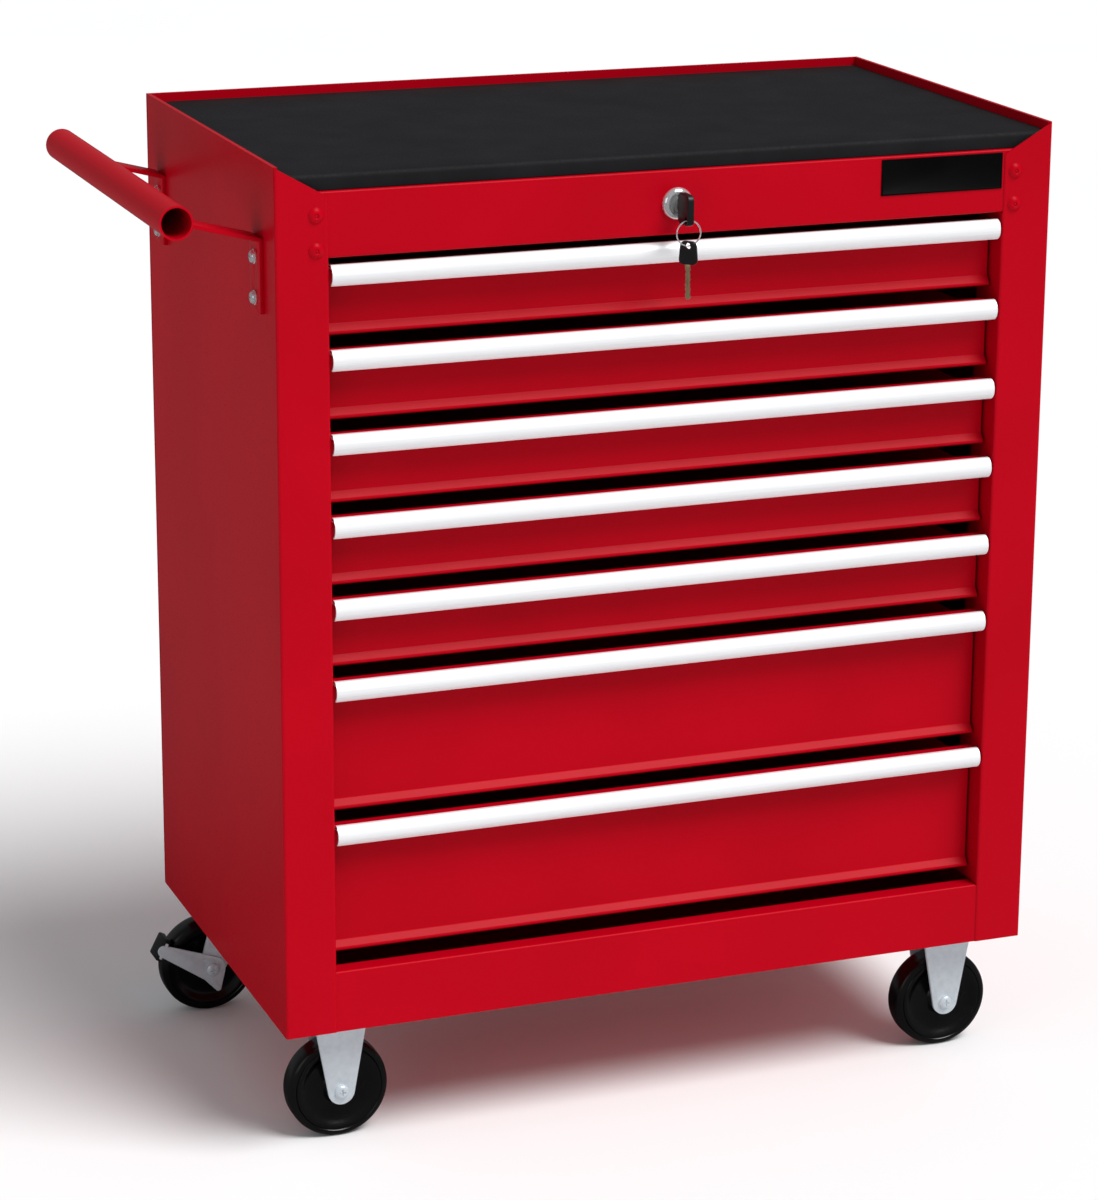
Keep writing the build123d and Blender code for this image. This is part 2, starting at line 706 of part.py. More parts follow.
for number, (pull_top, lip) in enumerate(zip(pull_tops, lips), start=1):
    wall_top = pull_top - wall_drop
    with BuildPart() as drawer_box:
        # The front: flange, panel, forward lip and the start of the floor, in one bent sheet
        with BuildSketch(Plane.YZ.offset(front_left)):
            with BuildLine():
                FilletPolyline(
                    (y_front + pull_top_y + pull_wall, pull_top - pull_wall - drawer_sheet),
                    (panel_y, pull_top - pull_wall - drawer_sheet),
                    (panel_y, lip + lip_h),
                    (panel_y - lip_out, lip),
                    (panel_y + drawer_sheet, lip),
                    radius=fold_r,
                )
                offset(amount=drawer_sheet, side=Side.LEFT)
            make_face()
        extrude(amount=front_right - front_left)
        block(box_left, box_right, panel_y, box_back, lip, lip + drawer_sheet)
        block(box_left, box_left + drawer_sheet, panel_y, box_back, lip, wall_top)
        block(box_right - drawer_sheet, box_right, panel_y, box_back, lip, wall_top)
        block(box_left, box_right, box_back - drawer_sheet, box_back, lip, wall_top - rear_wall_drop)
    save(drawer_box, f"drawer_{number}_box")

    pull_y = y_front + pull_top_y
    bulge_y = y_front - pull_out
    with BuildPart() as drawer_pull:
        with BuildSketch(Plane.YZ.offset(pull_left)):
            # Convex face
            pull_mid = pull_top - pull_h / 2
            pull_low = pull_top - pull_h
            inner_top = (pull_y + pull_wall, pull_top - pull_wall / 2)
            inner_low = (pull_y + pull_wall, pull_low + pull_wall / 2)
            with BuildLine():
                ThreePointArc((pull_y, pull_top), (bulge_y, pull_mid), (pull_y, pull_low))
                Line((pull_y, pull_low), inner_low)
                ThreePointArc(inner_low, (bulge_y + pull_wall, pull_mid), inner_top)
                Line(inner_top, (pull_y, pull_top))
            make_face()
            # Bead over the drawer's flange, and the rib under it
            with Locations((pull_y + pull_bead / 2, pull_top - pull_wall / 2)):
                Rectangle(pull_bead, pull_wall)
            rib_top = pull_top - pull_wall - drawer_sheet
            rib_front = pull_y - pull_wall
            with Locations((rib_front + pull_rib / 2, rib_top - pull_wall / 2)):
                Rectangle(pull_rib, pull_wall)
        extrude(amount=pull_right - pull_left)
    save(drawer_pull, f"drawer_{number}_pull")

    slide_z = lip + slide_up + slide_h / 2
    inner_h = slide_h - 2 * (slide_gauge + slide_nest)
    with BuildPart() as drawer_runners:
        extrude(slide_profile(box_left, -1, slide_z, inner_h), amount=-(box_back - member_start))
        extrude(slide_profile(box_right, 1, slide_z, inner_h), amount=-(box_back - member_start))
    save(drawer_runners, f"drawer_{number}_runners")

with BuildPart() as cabinet_rails:
    rail_length = y_back - rail_end - member_start
    for lip in lips:
        slide_z = lip + slide_up + slide_h / 2
        extrude(slide_profile(open_left, 1, slide_z, slide_h), amount=-rail_length)
        extrude(slide_profile(open_right, -1, slide_z, slide_h), amount=-rail_length)
    # The rails start behind the drawer fronts' edges
    block(x_left, x_right, member_start - sheet, y_front + rail_start, z_low, z_top, Mode.SUBTRACT)
save(cabinet_rails, "cabinet_rails")

# ---------------------------------------------------------------------------------------------
# Casters
# ---------------------------------------------------------------------------------------------


def wheel(x, y, label):
    """A moulded wheel: crowned rim, thin web and a hub that is wider than the rim."""
    with BuildPart() as turned:
        with BuildSketch(Plane((x, y, axle_z), x_dir=(1, 0, 0), z_dir=(0, 0, 1))) as section:
            with BuildLine():
                half_rim = wheel_w / 2
                half_web = wheel_web / 2
                half_hub = wheel_hub_w / 2
                bore_r = axle_d / 2 + axle_run
                rim_r = wheel_d / 2 - tread_thick
                Polyline(
                    (bore_r, -half_hub), (wheel_hub_d / 2, -half_hub), (wheel_hub_d / 2, -half_web),
                    (rim_r, -half_web), (rim_r, -half_rim), (wheel_d / 2, -half_rim),
                    (wheel_d / 2, half_rim), (rim_r, half_rim), (rim_r, half_web),
                    (wheel_hub_d / 2, half_web), (wheel_hub_d / 2, half_hub), (bore_r, half_hub),
                    close=True,
                )
            make_face()
            fillet(section.vertices().group_by(Axis.X)[-1], radius=wheel_round)
        revolve(axis=Axis((x, y, axle_z), (0, 1, 0)))
    save(turned, label)


def tangent_point(axle_x, from_x, from_z, side):
    """Where the line from (from_x, from_z) touches the foot's circle, on its left (-1) or right (1)."""
    run_x = from_x - axle_x
    run_z = from_z - axle_z
    touch_l = (run_x ** 2 + run_z ** 2 - leg_foot_r ** 2) ** 0.5
    turn = atan2(run_z, run_x) - side * atan2(touch_l, leg_foot_r)
    return (axle_x + leg_foot_r * cos(turn), axle_z + leg_foot_r * sin(turn))


def leg(back_y, top_z, axle_x, top_left, top_right):
    """A fork leg, in the open part: straight sides, tangent to a round foot about the axle."""
    foot_left = tangent_point(axle_x, top_left, top_z, -1)
    foot_right = tangent_point(axle_x, top_right, top_z, 1)
    with BuildSketch(Plane.XZ.offset(-back_y)) as outline:
        with BuildLine():
            Polyline(foot_left, (top_left, top_z), (top_right, top_z), foot_right)
            ThreePointArc(foot_right, (axle_x, axle_z - leg_foot_r), foot_left)
        make_face()
    extrude(outline.sketch, amount=leg_thick)


plate_low = z_low - plate_thick

with BuildPart() as rigid_caster_forks:
    for caster_x in rigid_xs:
        block(caster_x - plate_l / 2, caster_x + plate_l / 2,
              rigid_y - plate_l / 2, rigid_y + plate_l / 2, plate_low, z_low)
        for leg_back in (rigid_y - leg_gap / 2, rigid_y + leg_out):
            leg(leg_back, plate_low, caster_x, caster_x - leg_top_w / 2, caster_x + leg_top_w / 2)
        rod(caster_x, rigid_y - leg_out - sheet, rigid_y + leg_out + sheet, axle_z, axle_d, Mode.SUBTRACT)
        with Locations((caster_x, rigid_y, plate_low + plate_thick / 2)):
            with GridLocations(plate_bolt, plate_bolt, 2, 2):
                Cylinder(bolt_hole_d / 2, plate_thick, mode=Mode.SUBTRACT)
save(rigid_caster_forks, "rigid_caster_forks")

with BuildPart() as rigid_caster_axles:
    for caster_x in rigid_xs:
        rod(caster_x, rigid_y - leg_out - axle_head_h, rigid_y - leg_out, axle_z, axle_head_d)
        rod(caster_x, rigid_y - leg_out, rigid_y + leg_out, axle_z, axle_d)
        rod(caster_x, rigid_y + leg_out, rigid_y + leg_out + axle_nut_h, axle_z, axle_head_d)
save(rigid_caster_axles, "rigid_caster_axles")

for caster_x, side_name in zip(rigid_xs, ("left", "right")):
    wheel(caster_x, rigid_y, f"rigid_wheel_{side_name}")

crown_top = plate_low - race_h - race_gap
crown_low = crown_top - leg_thick

with BuildPart() as swivel_caster_plates:
    for caster_x in swivel_xs:
        block(caster_x - plate_l / 2, caster_x + plate_l / 2,
              swivel_y - plate_l / 2, swivel_y + plate_l / 2, plate_low, z_low)
        post(caster_x, swivel_y, plate_low - race_h, plate_low, race_d)
        post(caster_x, swivel_y, crown_low - race_gap, plate_low, king_pin_d)
        post(caster_x, swivel_y, crown_low - race_gap - king_head_h, crown_low - race_gap, king_head_d)
        with Locations((caster_x, swivel_y, plate_low + plate_thick / 2)):
            with GridLocations(plate_bolt, plate_bolt, 2, 2):
                Cylinder(bolt_hole_d / 2, plate_thick, mode=Mode.SUBTRACT)
save(swivel_caster_plates, "swivel_caster_plates")

with BuildPart() as caster_bolts:
    for caster_x, caster_y in [(x, rigid_y) for x in rigid_xs] + [(x, swivel_y) for x in swivel_xs]:
        for step_x in (-plate_bolt / 2, plate_bolt / 2):
            for step_y in (-plate_bolt / 2, plate_bolt / 2):
                bolt_x = caster_x + step_x
                bolt_y = caster_y + step_y
                nut_low = z_low + pan_sheet
                post(bolt_x, bolt_y, plate_low - plate_bolt_head_h, plate_low, plate_bolt_head_d)
                post(bolt_x, bolt_y, plate_low, nut_low, plate_bolt_d)
                post(bolt_x, bolt_y, nut_low, nut_low + plate_bolt_nut_h, plate_bolt_head_d)
save(caster_bolts, "caster_bolts")

lever_front = -leg_out - brake_gap - lever_thick  # from the fork's centre
pedal_angle = radians(lever_turn)


def swivel_caster(caster_x, side_name):
    """A swivel fork that trails to the left, with its wheel, axle, brake lever and pedal."""
    axle_x = caster_x - trail
    with BuildPart() as fork:
        post(caster_x, swivel_y, crown_low, crown_top, crown_d)
        block(caster_x - leg_top_w / 2, caster_x + leg_top_w / 2, swivel_y - leg_out, swivel_y + leg_out,
              crown_low, crown_top)
        for leg_back in (swivel_y - leg_gap / 2, swivel_y + leg_out):
            leg(leg_back, crown_top, axle_x, caster_x - leg_top_w / 2, caster_x + leg_top_w / 2)
        king_bore_d = king_pin_d + 2 * axle_run
        post(caster_x, swivel_y, crown_low - sheet, crown_top + sheet, king_bore_d, Mode.SUBTRACT)
        rod(axle_x, swivel_y - leg_out - sheet, swivel_y + leg_out + sheet, axle_z, axle_d, Mode.SUBTRACT)
    save(fork, f"swivel_fork_{side_name}")

    wheel(axle_x, swivel_y, f"swivel_wheel_{side_name}")

    head_back = swivel_y + lever_front - brake_gap
    with BuildPart() as axle:
        rod(axle_x, head_back - axle_head_h, head_back, axle_z, axle_head_d)
        rod(axle_x, head_back, swivel_y + leg_out, axle_z, axle_d)
        rod(axle_x, swivel_y + leg_out, swivel_y + leg_out + axle_nut_h, axle_z, axle_head_d)
    save(axle, f"swivel_axle_{side_name}")

    # The lever is a plate on the axle: a tail below it, and an arm out to a tab across the wheel
    tail_angle = radians(lever_tail_turn)
    tail_at = (axle_x + lever_tail_l * cos(tail_angle), axle_z + lever_tail_l * sin(tail_angle))
    tab_at = (axle_x + lever_reach * cos(pedal_angle), axle_z + lever_reach * sin(pedal_angle))
    with BuildPart() as lever:
        with BuildSketch(Plane.XZ.offset(-swivel_y - lever_front - lever_thick)):
            with BuildSketch(mode=Mode.PRIVATE) as arm_ends:
                with Locations((axle_x, axle_z)):
                    Circle(lever_r)
                with Locations(tab_at):
                    Circle(lever_neck_r)
            with BuildSketch(mode=Mode.PRIVATE) as tail_ends:
                with Locations((axle_x, axle_z)):
                    Circle(lever_r)
                with Locations(tail_at):
                    Circle(lever_tail_r)
            make_hull(arm_ends.sketch.edges())
            make_hull(tail_ends.sketch.edges())
        extrude(amount=lever_thick)
        tab_middle = (tab_at[0], swivel_y + lever_front / 2, tab_at[1])
        with Locations(Location(tab_middle, (0, 90 - lever_turn, 0))):
            Box(tab_w, -lever_front, lever_thick)
        rod(axle_x, swivel_y + lever_front - sheet, swivel_y, axle_z, axle_d + 2 * axle_run, Mode.SUBTRACT)
    save(lever, f"brake_lever_{side_name}")

    with BuildPart() as pedal:
        pedal_back = swivel_y + pedal_over
        pedal_front = swivel_y + lever_front + lever_thick
        pedal_middle = (tab_at[0], (pedal_front + pedal_back) / 2, tab_at[1])
        with Locations(Location(pedal_middle, (0, 90 - lever_turn, 0))):
            Box(pedal_l, pedal_back - pedal_front, pedal_thick)
        chamfer(pedal.edges(), length=pedal_round)
        add(lever.part, mode=Mode.SUBTRACT)
    save(pedal, f"brake_pedal_{side_name}")


for caster_x, side_name in zip(swivel_xs, ("left", "right")):
    swivel_caster(caster_x, side_name)
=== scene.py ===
# %% [markdown]
# # A rolling tool chest
#
# The object is a sheet-steel roller cabinet: a red enamelled shell, seven drawers with aluminium
# pulls, a rubber mat on the worktop, a push handle on the left side, a cam lock with its keys and
# four casters. The shell, the drawers and the slides come from a CAD model. They already have their
# true size, so they stay, and they get their real finishes here. The small things that catch the eye,
# such as rivets, bolts, wheels and keys, are modelled again in more detail, in the places that the
# CAD nodes hold.

import json
from math import pi, radians, sin

import bpy
from mathutils import Matrix, Vector


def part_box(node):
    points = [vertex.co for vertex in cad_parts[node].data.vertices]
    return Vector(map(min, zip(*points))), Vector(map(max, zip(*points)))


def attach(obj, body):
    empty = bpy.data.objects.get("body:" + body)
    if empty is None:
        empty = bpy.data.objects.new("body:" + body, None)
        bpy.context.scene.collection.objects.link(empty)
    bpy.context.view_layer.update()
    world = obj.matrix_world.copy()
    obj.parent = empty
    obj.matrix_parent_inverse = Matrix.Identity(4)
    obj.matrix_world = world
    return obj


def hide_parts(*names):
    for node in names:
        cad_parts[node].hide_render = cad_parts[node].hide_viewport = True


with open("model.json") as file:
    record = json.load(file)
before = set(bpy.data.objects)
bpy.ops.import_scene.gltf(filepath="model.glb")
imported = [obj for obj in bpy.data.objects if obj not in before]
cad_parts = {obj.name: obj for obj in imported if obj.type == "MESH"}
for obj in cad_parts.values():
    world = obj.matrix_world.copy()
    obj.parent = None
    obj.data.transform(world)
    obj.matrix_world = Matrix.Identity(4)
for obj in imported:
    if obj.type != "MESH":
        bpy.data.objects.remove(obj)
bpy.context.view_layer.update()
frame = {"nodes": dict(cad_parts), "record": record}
mm = 0.001

# %% [markdown]
# ## Two small helpers for finishes
#
# A colour is easiest to choose as an sRGB hex value, as a paint chart gives it, but shaders work in
# linear light. One function turns the first into the second. Every finish is then a small graph of
# nodes. One function adds a node, sets its values and joins its inputs, and this keeps each finish
# readable as a list of what it is made of. Patterns read Object coordinates, which are metres on the
# real object, so a grain of 2 mm is a scale of 500.


# %% Colour and node helpers
def paint(hex_code, alpha=1.0):
    """An sRGB hex colour as linear RGBA."""
    parts = [int(hex_code[i:i + 2], 16) / 255 for i in (0, 2, 4)]
    linear = [v / 12.92 if v <= 0.04045 else ((v + 0.055) / 1.055) ** 2.4 for v in parts]
    return (*linear, alpha)


def add_node(tree, kind, settings=None, inputs=None, links=None):
    """Add a node, set its properties and input values, and join its inputs to other sockets."""
    node = tree.nodes.new(kind)
    for key, value in (settings or {}).items():
        setattr(node, key, value)
    for key, value in (inputs or {}).items():
        node.inputs[key].default_value = value
    for key, socket in (links or {}).items():
        tree.links.new(socket, node.inputs[key])
    return node


# A Mix node holds sockets for every type of data. These are the ones of its colour form.
MIX_FACTOR, MIX_A, MIX_B, MIX_RESULT = 0, 6, 7, 2


def per_mm(size):
    """The scale of a pattern whose cells are this many millimetres on the object."""
    return 1 / (size * mm)


def new_finish(name):
    """An empty material with its output, and Object coordinates ready to use."""
    finish = bpy.data.materials.new(name)
    finish.use_nodes = True
    finish.node_tree.nodes.clear()
    tree = finish.node_tree
    place = add_node(tree, "ShaderNodeTexCoord")
    return finish, tree, place.outputs["Object"]


def close_finish(tree, shader):
    """Join the last shader to the material's output."""
    add_node(tree, "ShaderNodeOutputMaterial", links={"Surface": shader.outputs[0]})


# %% [markdown]
# ## Red enamel
#
# The sheet metal is powder coated and stoved. Such a coat has a deep even red, a soft gloss and the
# faint ripple called orange peel, whose waves are 1 to 3 mm wide. Its colour drifts a little where
# the coat is thinner. Two close reds are mixed by a wide noise for the drift, a finer noise moves the
# roughness, and a very low bump gives the ripple. The specular level is a tenth of a real coat's,
# because a light as broad as this one would lay a pale haze over the red.


# %% Red enamel
def make_enamel():
    finish, tree, place = new_finish("red_powder_coat")
    drift = add_node(tree, "ShaderNodeTexNoise", inputs={"Scale": per_mm(140), "Detail": 2.0},
                     links={"Vector": place})
    speckle = add_node(tree, "ShaderNodeTexNoise", inputs={"Scale": per_mm(1.1), "Detail": 2.0},
                       links={"Vector": place})
    coat = add_node(tree, "ShaderNodeValToRGB", links={"Fac": drift.outputs["Fac"]})
    coat.color_ramp.elements[0].position = 0.3
    coat.color_ramp.elements[0].color = paint("b10116")
    coat.color_ramp.elements[1].position = 0.7
    coat.color_ramp.elements[1].color = paint("b90118")
    colour = add_node(tree, "ShaderNodeMix", {"data_type": "RGBA", "blend_type": "MULTIPLY"},
                      {"Factor": 0.06}, {MIX_A: coat.outputs["Color"], MIX_B: speckle.outputs["Color"]})
    gloss = add_node(tree, "ShaderNodeMapRange",
                     inputs={"From Min": 0.3, "From Max": 0.7, "To Min": 0.27, "To Max": 0.36},
                     links={"Value": speckle.outputs["Fac"]})
    peel = add_node(tree, "ShaderNodeTexNoise", inputs={"Scale": per_mm(2.2), "Detail": 1.0},
                    links={"Vector": place})
    ripple = add_node(tree, "ShaderNodeBump", inputs={"Strength": 0.05, "Distance": 0.2 * mm},
                      links={"Height": peel.outputs["Fac"]})
    shader = add_node(tree, "ShaderNodeBsdfPrincipled", inputs={"Specular IOR Level": 0.05, "IOR": 1.5},
                      links={"Base Color": colour.outputs[MIX_RESULT], "Roughness": gloss.outputs["Result"],
                             "Normal": ripple.outputs["Normal"]})
    close_finish(tree, shader)
    return finish


red_enamel = make_enamel()
print("finish", red_enamel.name)

# %% [markdown]
# ## Metals
#
# Four metals show. The pulls are extruded aluminium, satin anodised: fine die lines run along them.
# The forks, slides, axles and brake levers are bright zinc plate, which has a cool, slightly cloudy
# skin with crystals 3 to 8 mm wide. The lock, the handle's bolts and the key ring are chrome, nearly a
# mirror, with hairline scratches. The key blades are nickel brass. Each one has its own tint, and what
# makes them differ is the shape and size of the pattern that moves the roughness. The oxide on the
# aluminium and the chromate on the zinc scatter light, so those two are only partly metallic. The
# chrome is a little less than fully metallic, because the grey surroundings that it mirrors darken it.


# %% Metals
def make_metal(name, light, dark, grain_mm, stretch, rough_low, rough_high, bump_mm, metallic=1.0):
    """A metal whose tint and roughness follow a noise, stretched along one axis for drawn lines."""
    finish, tree, place = new_finish(name)
    along = add_node(tree, "ShaderNodeMapping", inputs={"Scale": stretch}, links={"Vector": place})
    grain = add_node(tree, "ShaderNodeTexNoise", inputs={"Scale": per_mm(grain_mm), "Detail": 4.0},
                     links={"Vector": along.outputs["Vector"]})
    tint = add_node(tree, "ShaderNodeValToRGB", links={"Fac": grain.outputs["Fac"]})
    tint.color_ramp.elements[0].position = 0.3
    tint.color_ramp.elements[0].color = paint(dark)
    tint.color_ramp.elements[1].position = 0.7
    tint.color_ramp.elements[1].color = paint(light)
    gloss = add_node(tree, "ShaderNodeMapRange",
                     inputs={"From Min": 0.3, "From Max": 0.7, "To Min": rough_low, "To Max": rough_high},
                     links={"Value": grain.outputs["Fac"]})
    lines = add_node(tree, "ShaderNodeBump", inputs={"Strength": 0.15, "Distance": bump_mm * mm},
                     links={"Height": grain.outputs["Fac"]})
    shader = add_node(tree, "ShaderNodeBsdfPrincipled", inputs={"Metallic": metallic},
                      links={"Base Color": tint.outputs["Color"], "Roughness": gloss.outputs["Result"],
                             "Normal": lines.outputs["Normal"]})
    close_finish(tree, shader)
    return finish


anodised_pull = make_metal("satin_anodised_aluminium", "fdfdfe", "f4f5f7", grain_mm=0.8,
                           stretch=(0.01, 1, 1), rough_low=0.34, rough_high=0.46, bump_mm=0.02,
                           metallic=0.2)
zinc_plate = make_metal("bright_zinc_plate", "e2ebf1", "d6e0e7", grain_mm=5.0, stretch=(1, 1, 1),
                        rough_low=0.3, rough_high=0.38, bump_mm=0.02, metallic=0.35)
bright_chrome = make_metal("polished_chrome", "f6f7f8", "eceef0", grain_mm=1.5, stretch=(1, 1, 0.1),
                           rough_low=0.07, rough_high=0.14, bump_mm=0.01, metallic=0.78)
key_brass = make_metal("nickel_brass", "d9c49a", "c9b187", grain_mm=0.8, stretch=(1, 1, 0.05),
                       rough_low=0.25, rough_high=0.38, bump_mm=0.02)
print("finishes", anodised_pull.name, zinc_plate.name, bright_chrome.name, key_brass.name)

# %% [markdown]
# ## Rubber and plastics
#
# The worktop mat is a dense black foam rubber with a closed, leathery skin. Its pits are under a
# millimetre wide, so they are drawn at 1.4 mm, where they still read. The key bows and pedals are
# moulded plastic with a spark-eroded texture, and the wheels are a harder, smoother one. Black
# plastic is never fully black: a little grey and a broad sheen give its form.


# %% Rubber and plastics
def make_black(name, dark, light, grain_mm, rough_low, rough_high, bump_mm, strength, specular):
    """A black moulded skin: pits from a cell pattern that also set the roughness, and a soft drift in tone.
    """
    finish, tree, place = new_finish(name)
    pits = add_node(tree, "ShaderNodeTexVoronoi", {"feature": "SMOOTH_F1"},
                    {"Scale": per_mm(grain_mm), "Smoothness": 0.6}, {"Vector": place})
    drift = add_node(tree, "ShaderNodeTexNoise", inputs={"Scale": per_mm(35), "Detail": 3.0},
                     links={"Vector": place})
    tone = add_node(tree, "ShaderNodeValToRGB", links={"Fac": drift.outputs["Fac"]})
    tone.color_ramp.elements[0].position = 0.35
    tone.color_ramp.elements[0].color = paint(dark)
    tone.color_ramp.elements[1].position = 0.7
    tone.color_ramp.elements[1].color = paint(light)
    gloss = add_node(tree, "ShaderNodeMapRange",
                     inputs={"From Min": 0.0, "From Max": 0.8, "To Min": rough_high, "To Max": rough_low},
                     links={"Value": pits.outputs["Distance"]})
    skin = add_node(tree, "ShaderNodeBump", inputs={"Strength": strength, "Distance": bump_mm * mm},
                    links={"Height": pits.outputs["Distance"]})
    shader = add_node(tree, "ShaderNodeBsdfPrincipled", inputs={"Specular IOR Level": specular, "IOR": 1.5},
                      links={"Base Color": tone.outputs["Color"], "Roughness": gloss.outputs["Result"],
                             "Normal": skin.outputs["Normal"]})
    close_finish(tree, shader)
    return finish


mat_rubber = make_black("foam_rubber_mat", "161618", "1b1b1d", grain_mm=1.4, rough_low=0.62,
                        rough_high=0.8, bump_mm=0.12, strength=0.35, specular=0.15)
moulded_plastic = make_black("spark_eroded_plastic", "0c0c0d", "141416", grain_mm=0.7, rough_low=0.38,
                             rough_high=0.5, bump_mm=0.05, strength=0.3, specular=0.4)
wheel_plastic = make_black("wheel_polypropylene", "040405", "09090a", grain_mm=1.6, rough_low=0.2,
                           rough_high=0.27, bump_mm=0.03, strength=0.12, specular=0.35)
badge_lacquer = make_black("black_lacquered_plate", "020202", "050505", grain_mm=0.6, rough_low=0.42,
                           rough_high=0.5, bump_mm=0.01, strength=0.1, specular=0.12)
print("finishes", mat_rubber.name, moulded_plastic.name, wheel_plastic.name, badge_lacquer.name)

# %% [markdown]
# ## Dress the CAD nodes
#
# The record says which finish each CAD node has, as a material slot. A CAD node's mesh is left as it
# is and only its material slots are filled, so a table from slot name to finish is enough.

# %% Give every CAD node its finish
slot_finish = {
    "red_enamel": red_enamel,
    "mat_rubber": mat_rubber,
    "pull_aluminium": anodised_pull,
    "zinc_steel": zinc_plate,
    "chrome": bright_chrome,
    "black_plastic": moulded_plastic,
    "wheel_black": wheel_plastic,
}
for row in frame["record"]["subparts"]:
    mesh = frame["nodes"][row["node"]].data
    mesh.materials.clear()
    mesh.materials.append(slot_finish[row["material_slot"]])
print("dressed", len(frame["nodes"]), "CAD nodes")

# %% [markdown]
# ## Camera
#
# The chest is seen from its front left, from a little above, with a long lens, so its upright edges
# stay nearly parallel. A lens of about 113 mm on a 36 mm frame does that at 3 m. The small shift
# moves the chest to its place in the frame.

# %% Camera
camera_data = bpy.data.cameras.new("camera")
camera = bpy.data.objects.new("camera", camera_data)
bpy.context.scene.collection.objects.link(camera)
camera.location = (-1.0117, -2.6804, 1.2349)
camera.rotation_euler = (radians(74.119), radians(-0.384), radians(-20.93))
camera_data.sensor_width = 36
camera_data.lens = 112.96
camera_data.shift_x = -0.016
camera_data.shift_y = -0.047
camera_data.clip_end = 200
bpy.context.scene.camera = camera
print("camera at", [round(v, 3) for v in camera.location])

# %% [markdown]
# ## Light and floor
#
# A product shot of glossy red metal needs broad, soft light. A sun with a very wide disc stands in
# for a large, far soft box: high in front and to the right, so that each sloping drawer lip mirrors
# it to the viewer as a bright line, while the left side stays in its own shade. A sun has no falloff,
# which keeps the pale floor even. A weak panel on the left and a plain grey sky fill the shade.
# Reflections see the floor and sky as a mid grey, as if black flags stood around the chest, so the
# enamel keeps its depth. Behind the floor's edge the sky itself shows as a white backdrop. A Light
# Path node tells these rays apart, on the floor and the sky alone. The Standard view keeps a
# saturated red saturated.


# %% Light and floor
def soft_panel(name, place, aim, width, height, watts):
    """An area light at a place, turned to face a point."""
    light = bpy.data.lights.new(name, "AREA")
    light.shape = "RECTANGLE"
    light.size = width
    light.size_y = height
    light.energy = watts
    panel = bpy.data.objects.new(name, light)
    bpy.context.scene.collection.objects.link(panel)
    panel.location = place
    panel.rotation_euler = (Vector(aim) - Vector(place)).to_track_quat("-Z", "Y").to_euler()
    return panel


def wide_sun(name, towards, strength, spread):
    """A sun whose light comes from a direction, with a disc this many degrees wide."""
    light = bpy.data.lights.new(name, "SUN")
    light.energy = strength
    light.angle = radians(spread)
    sun = bpy.data.objects.new(name, light)
    bpy.context.scene.collection.objects.link(sun)
    sun.rotation_euler = Vector(towards).to_track_quat("Z", "Y").to_euler()
    return sun


wide_sun("high_soft_box", (0.34, -0.47, 0.82), 3.0, 32)
soft_panel("left_panel", (-3.2, -2.2, 1.6), (-0.2, 0, 0.4), 1.8, 1.8, 8)

sky = bpy.data.worlds.new("pale_sky")
sky.use_nodes = True
bpy.context.scene.world = sky
sky_ray = add_node(sky.node_tree, "ShaderNodeLightPath")
sky_tone = add_node(sky.node_tree, "ShaderNodeMix", {"data_type": "RGBA"},
                    links={MIX_FACTOR: sky_ray.outputs["Is Glossy Ray"]})
sky_tone.inputs[MIX_A].default_value = paint("9d9ea0")
sky_tone.inputs[MIX_B].default_value = paint("747578")
sky_seen = add_node(sky.node_tree, "ShaderNodeMix", {"data_type": "RGBA"},
                    links={MIX_FACTOR: sky_ray.outputs["Is Camera Ray"],
                           MIX_A: sky_tone.outputs[MIX_RESULT]})
sky_seen.inputs[MIX_B].default_value = paint("fcfcfd")
background = sky.node_tree.nodes["Background"]
sky.node_tree.links.new(sky_seen.outputs[MIX_RESULT], background.inputs["Color"])
bpy.context.scene.view_settings.view_transform = "Standard"

bpy.ops.object.select_all(action="DESELECT")
floor_width = 160
bpy.ops.mesh.primitive_grid_add(x_subdivisions=4, y_subdivisions=4, size=floor_width)
floor = bpy.context.object
floor.name = "floor"
floor_finish, floor_tree, floor_place = new_finish("pale_floor")
floor_tone = add_node(floor_tree, "ShaderNodeTexNoise", inputs={"Scale": per_mm(900), "Detail": 2.0},
                      links={"Vector": floor_place})
floor_ramp = add_node(floor_tree, "ShaderNodeValToRGB", links={"Fac": floor_tone.outputs["Fac"]})
floor_ramp.color_ramp.elements[0].color = paint("f3f3f3")
floor_ramp.color_ramp.elements[1].color = paint("f7f7f7")
floor_ray = add_node(floor_tree, "ShaderNodeLightPath")
floor_seen = add_node(floor_tree, "ShaderNodeMix", {"data_type": "RGBA"},
                      links={MIX_FACTOR: floor_ray.outputs["Is Glossy Ray"],
                             MIX_A: floor_ramp.outputs["Color"]})
floor_seen.inputs[MIX_B].default_value = paint("6a6a6c")
close_finish(floor_tree, add_node(floor_tree, "ShaderNodeBsdfPrincipled",
                                  inputs={"Roughness": 0.9, "Specular IOR Level": 0.1},
                                  links={"Base Color": floor_seen.outputs[MIX_RESULT]}))
floor.data.materials.append(floor_finish)
print("floor and", len(bpy.data.lights), "lights")

# %% [markdown]
# ## Modelling helpers
#
# The new pieces are made as by hand: add a primitive, shape it in edit mode, round its edges and
# apply everything. An operator acts on whatever is selected, so each helper starts by selecting only
# what it needs. A turned piece, such as a wheel or a rivet, starts as a circle that is extruded and
# scaled ring by ring, just as a lathe tool would follow its profile.


# %% Modelling helpers
def only(piece):
    """Leave edit mode, and make this the one selected, active object."""
    if bpy.context.object and bpy.context.object.mode != "OBJECT":
        bpy.ops.object.mode_set(mode="OBJECT")
    bpy.ops.object.select_all(action="DESELECT")
    if piece:
        piece.select_set(True)
        bpy.context.view_layer.objects.active = piece


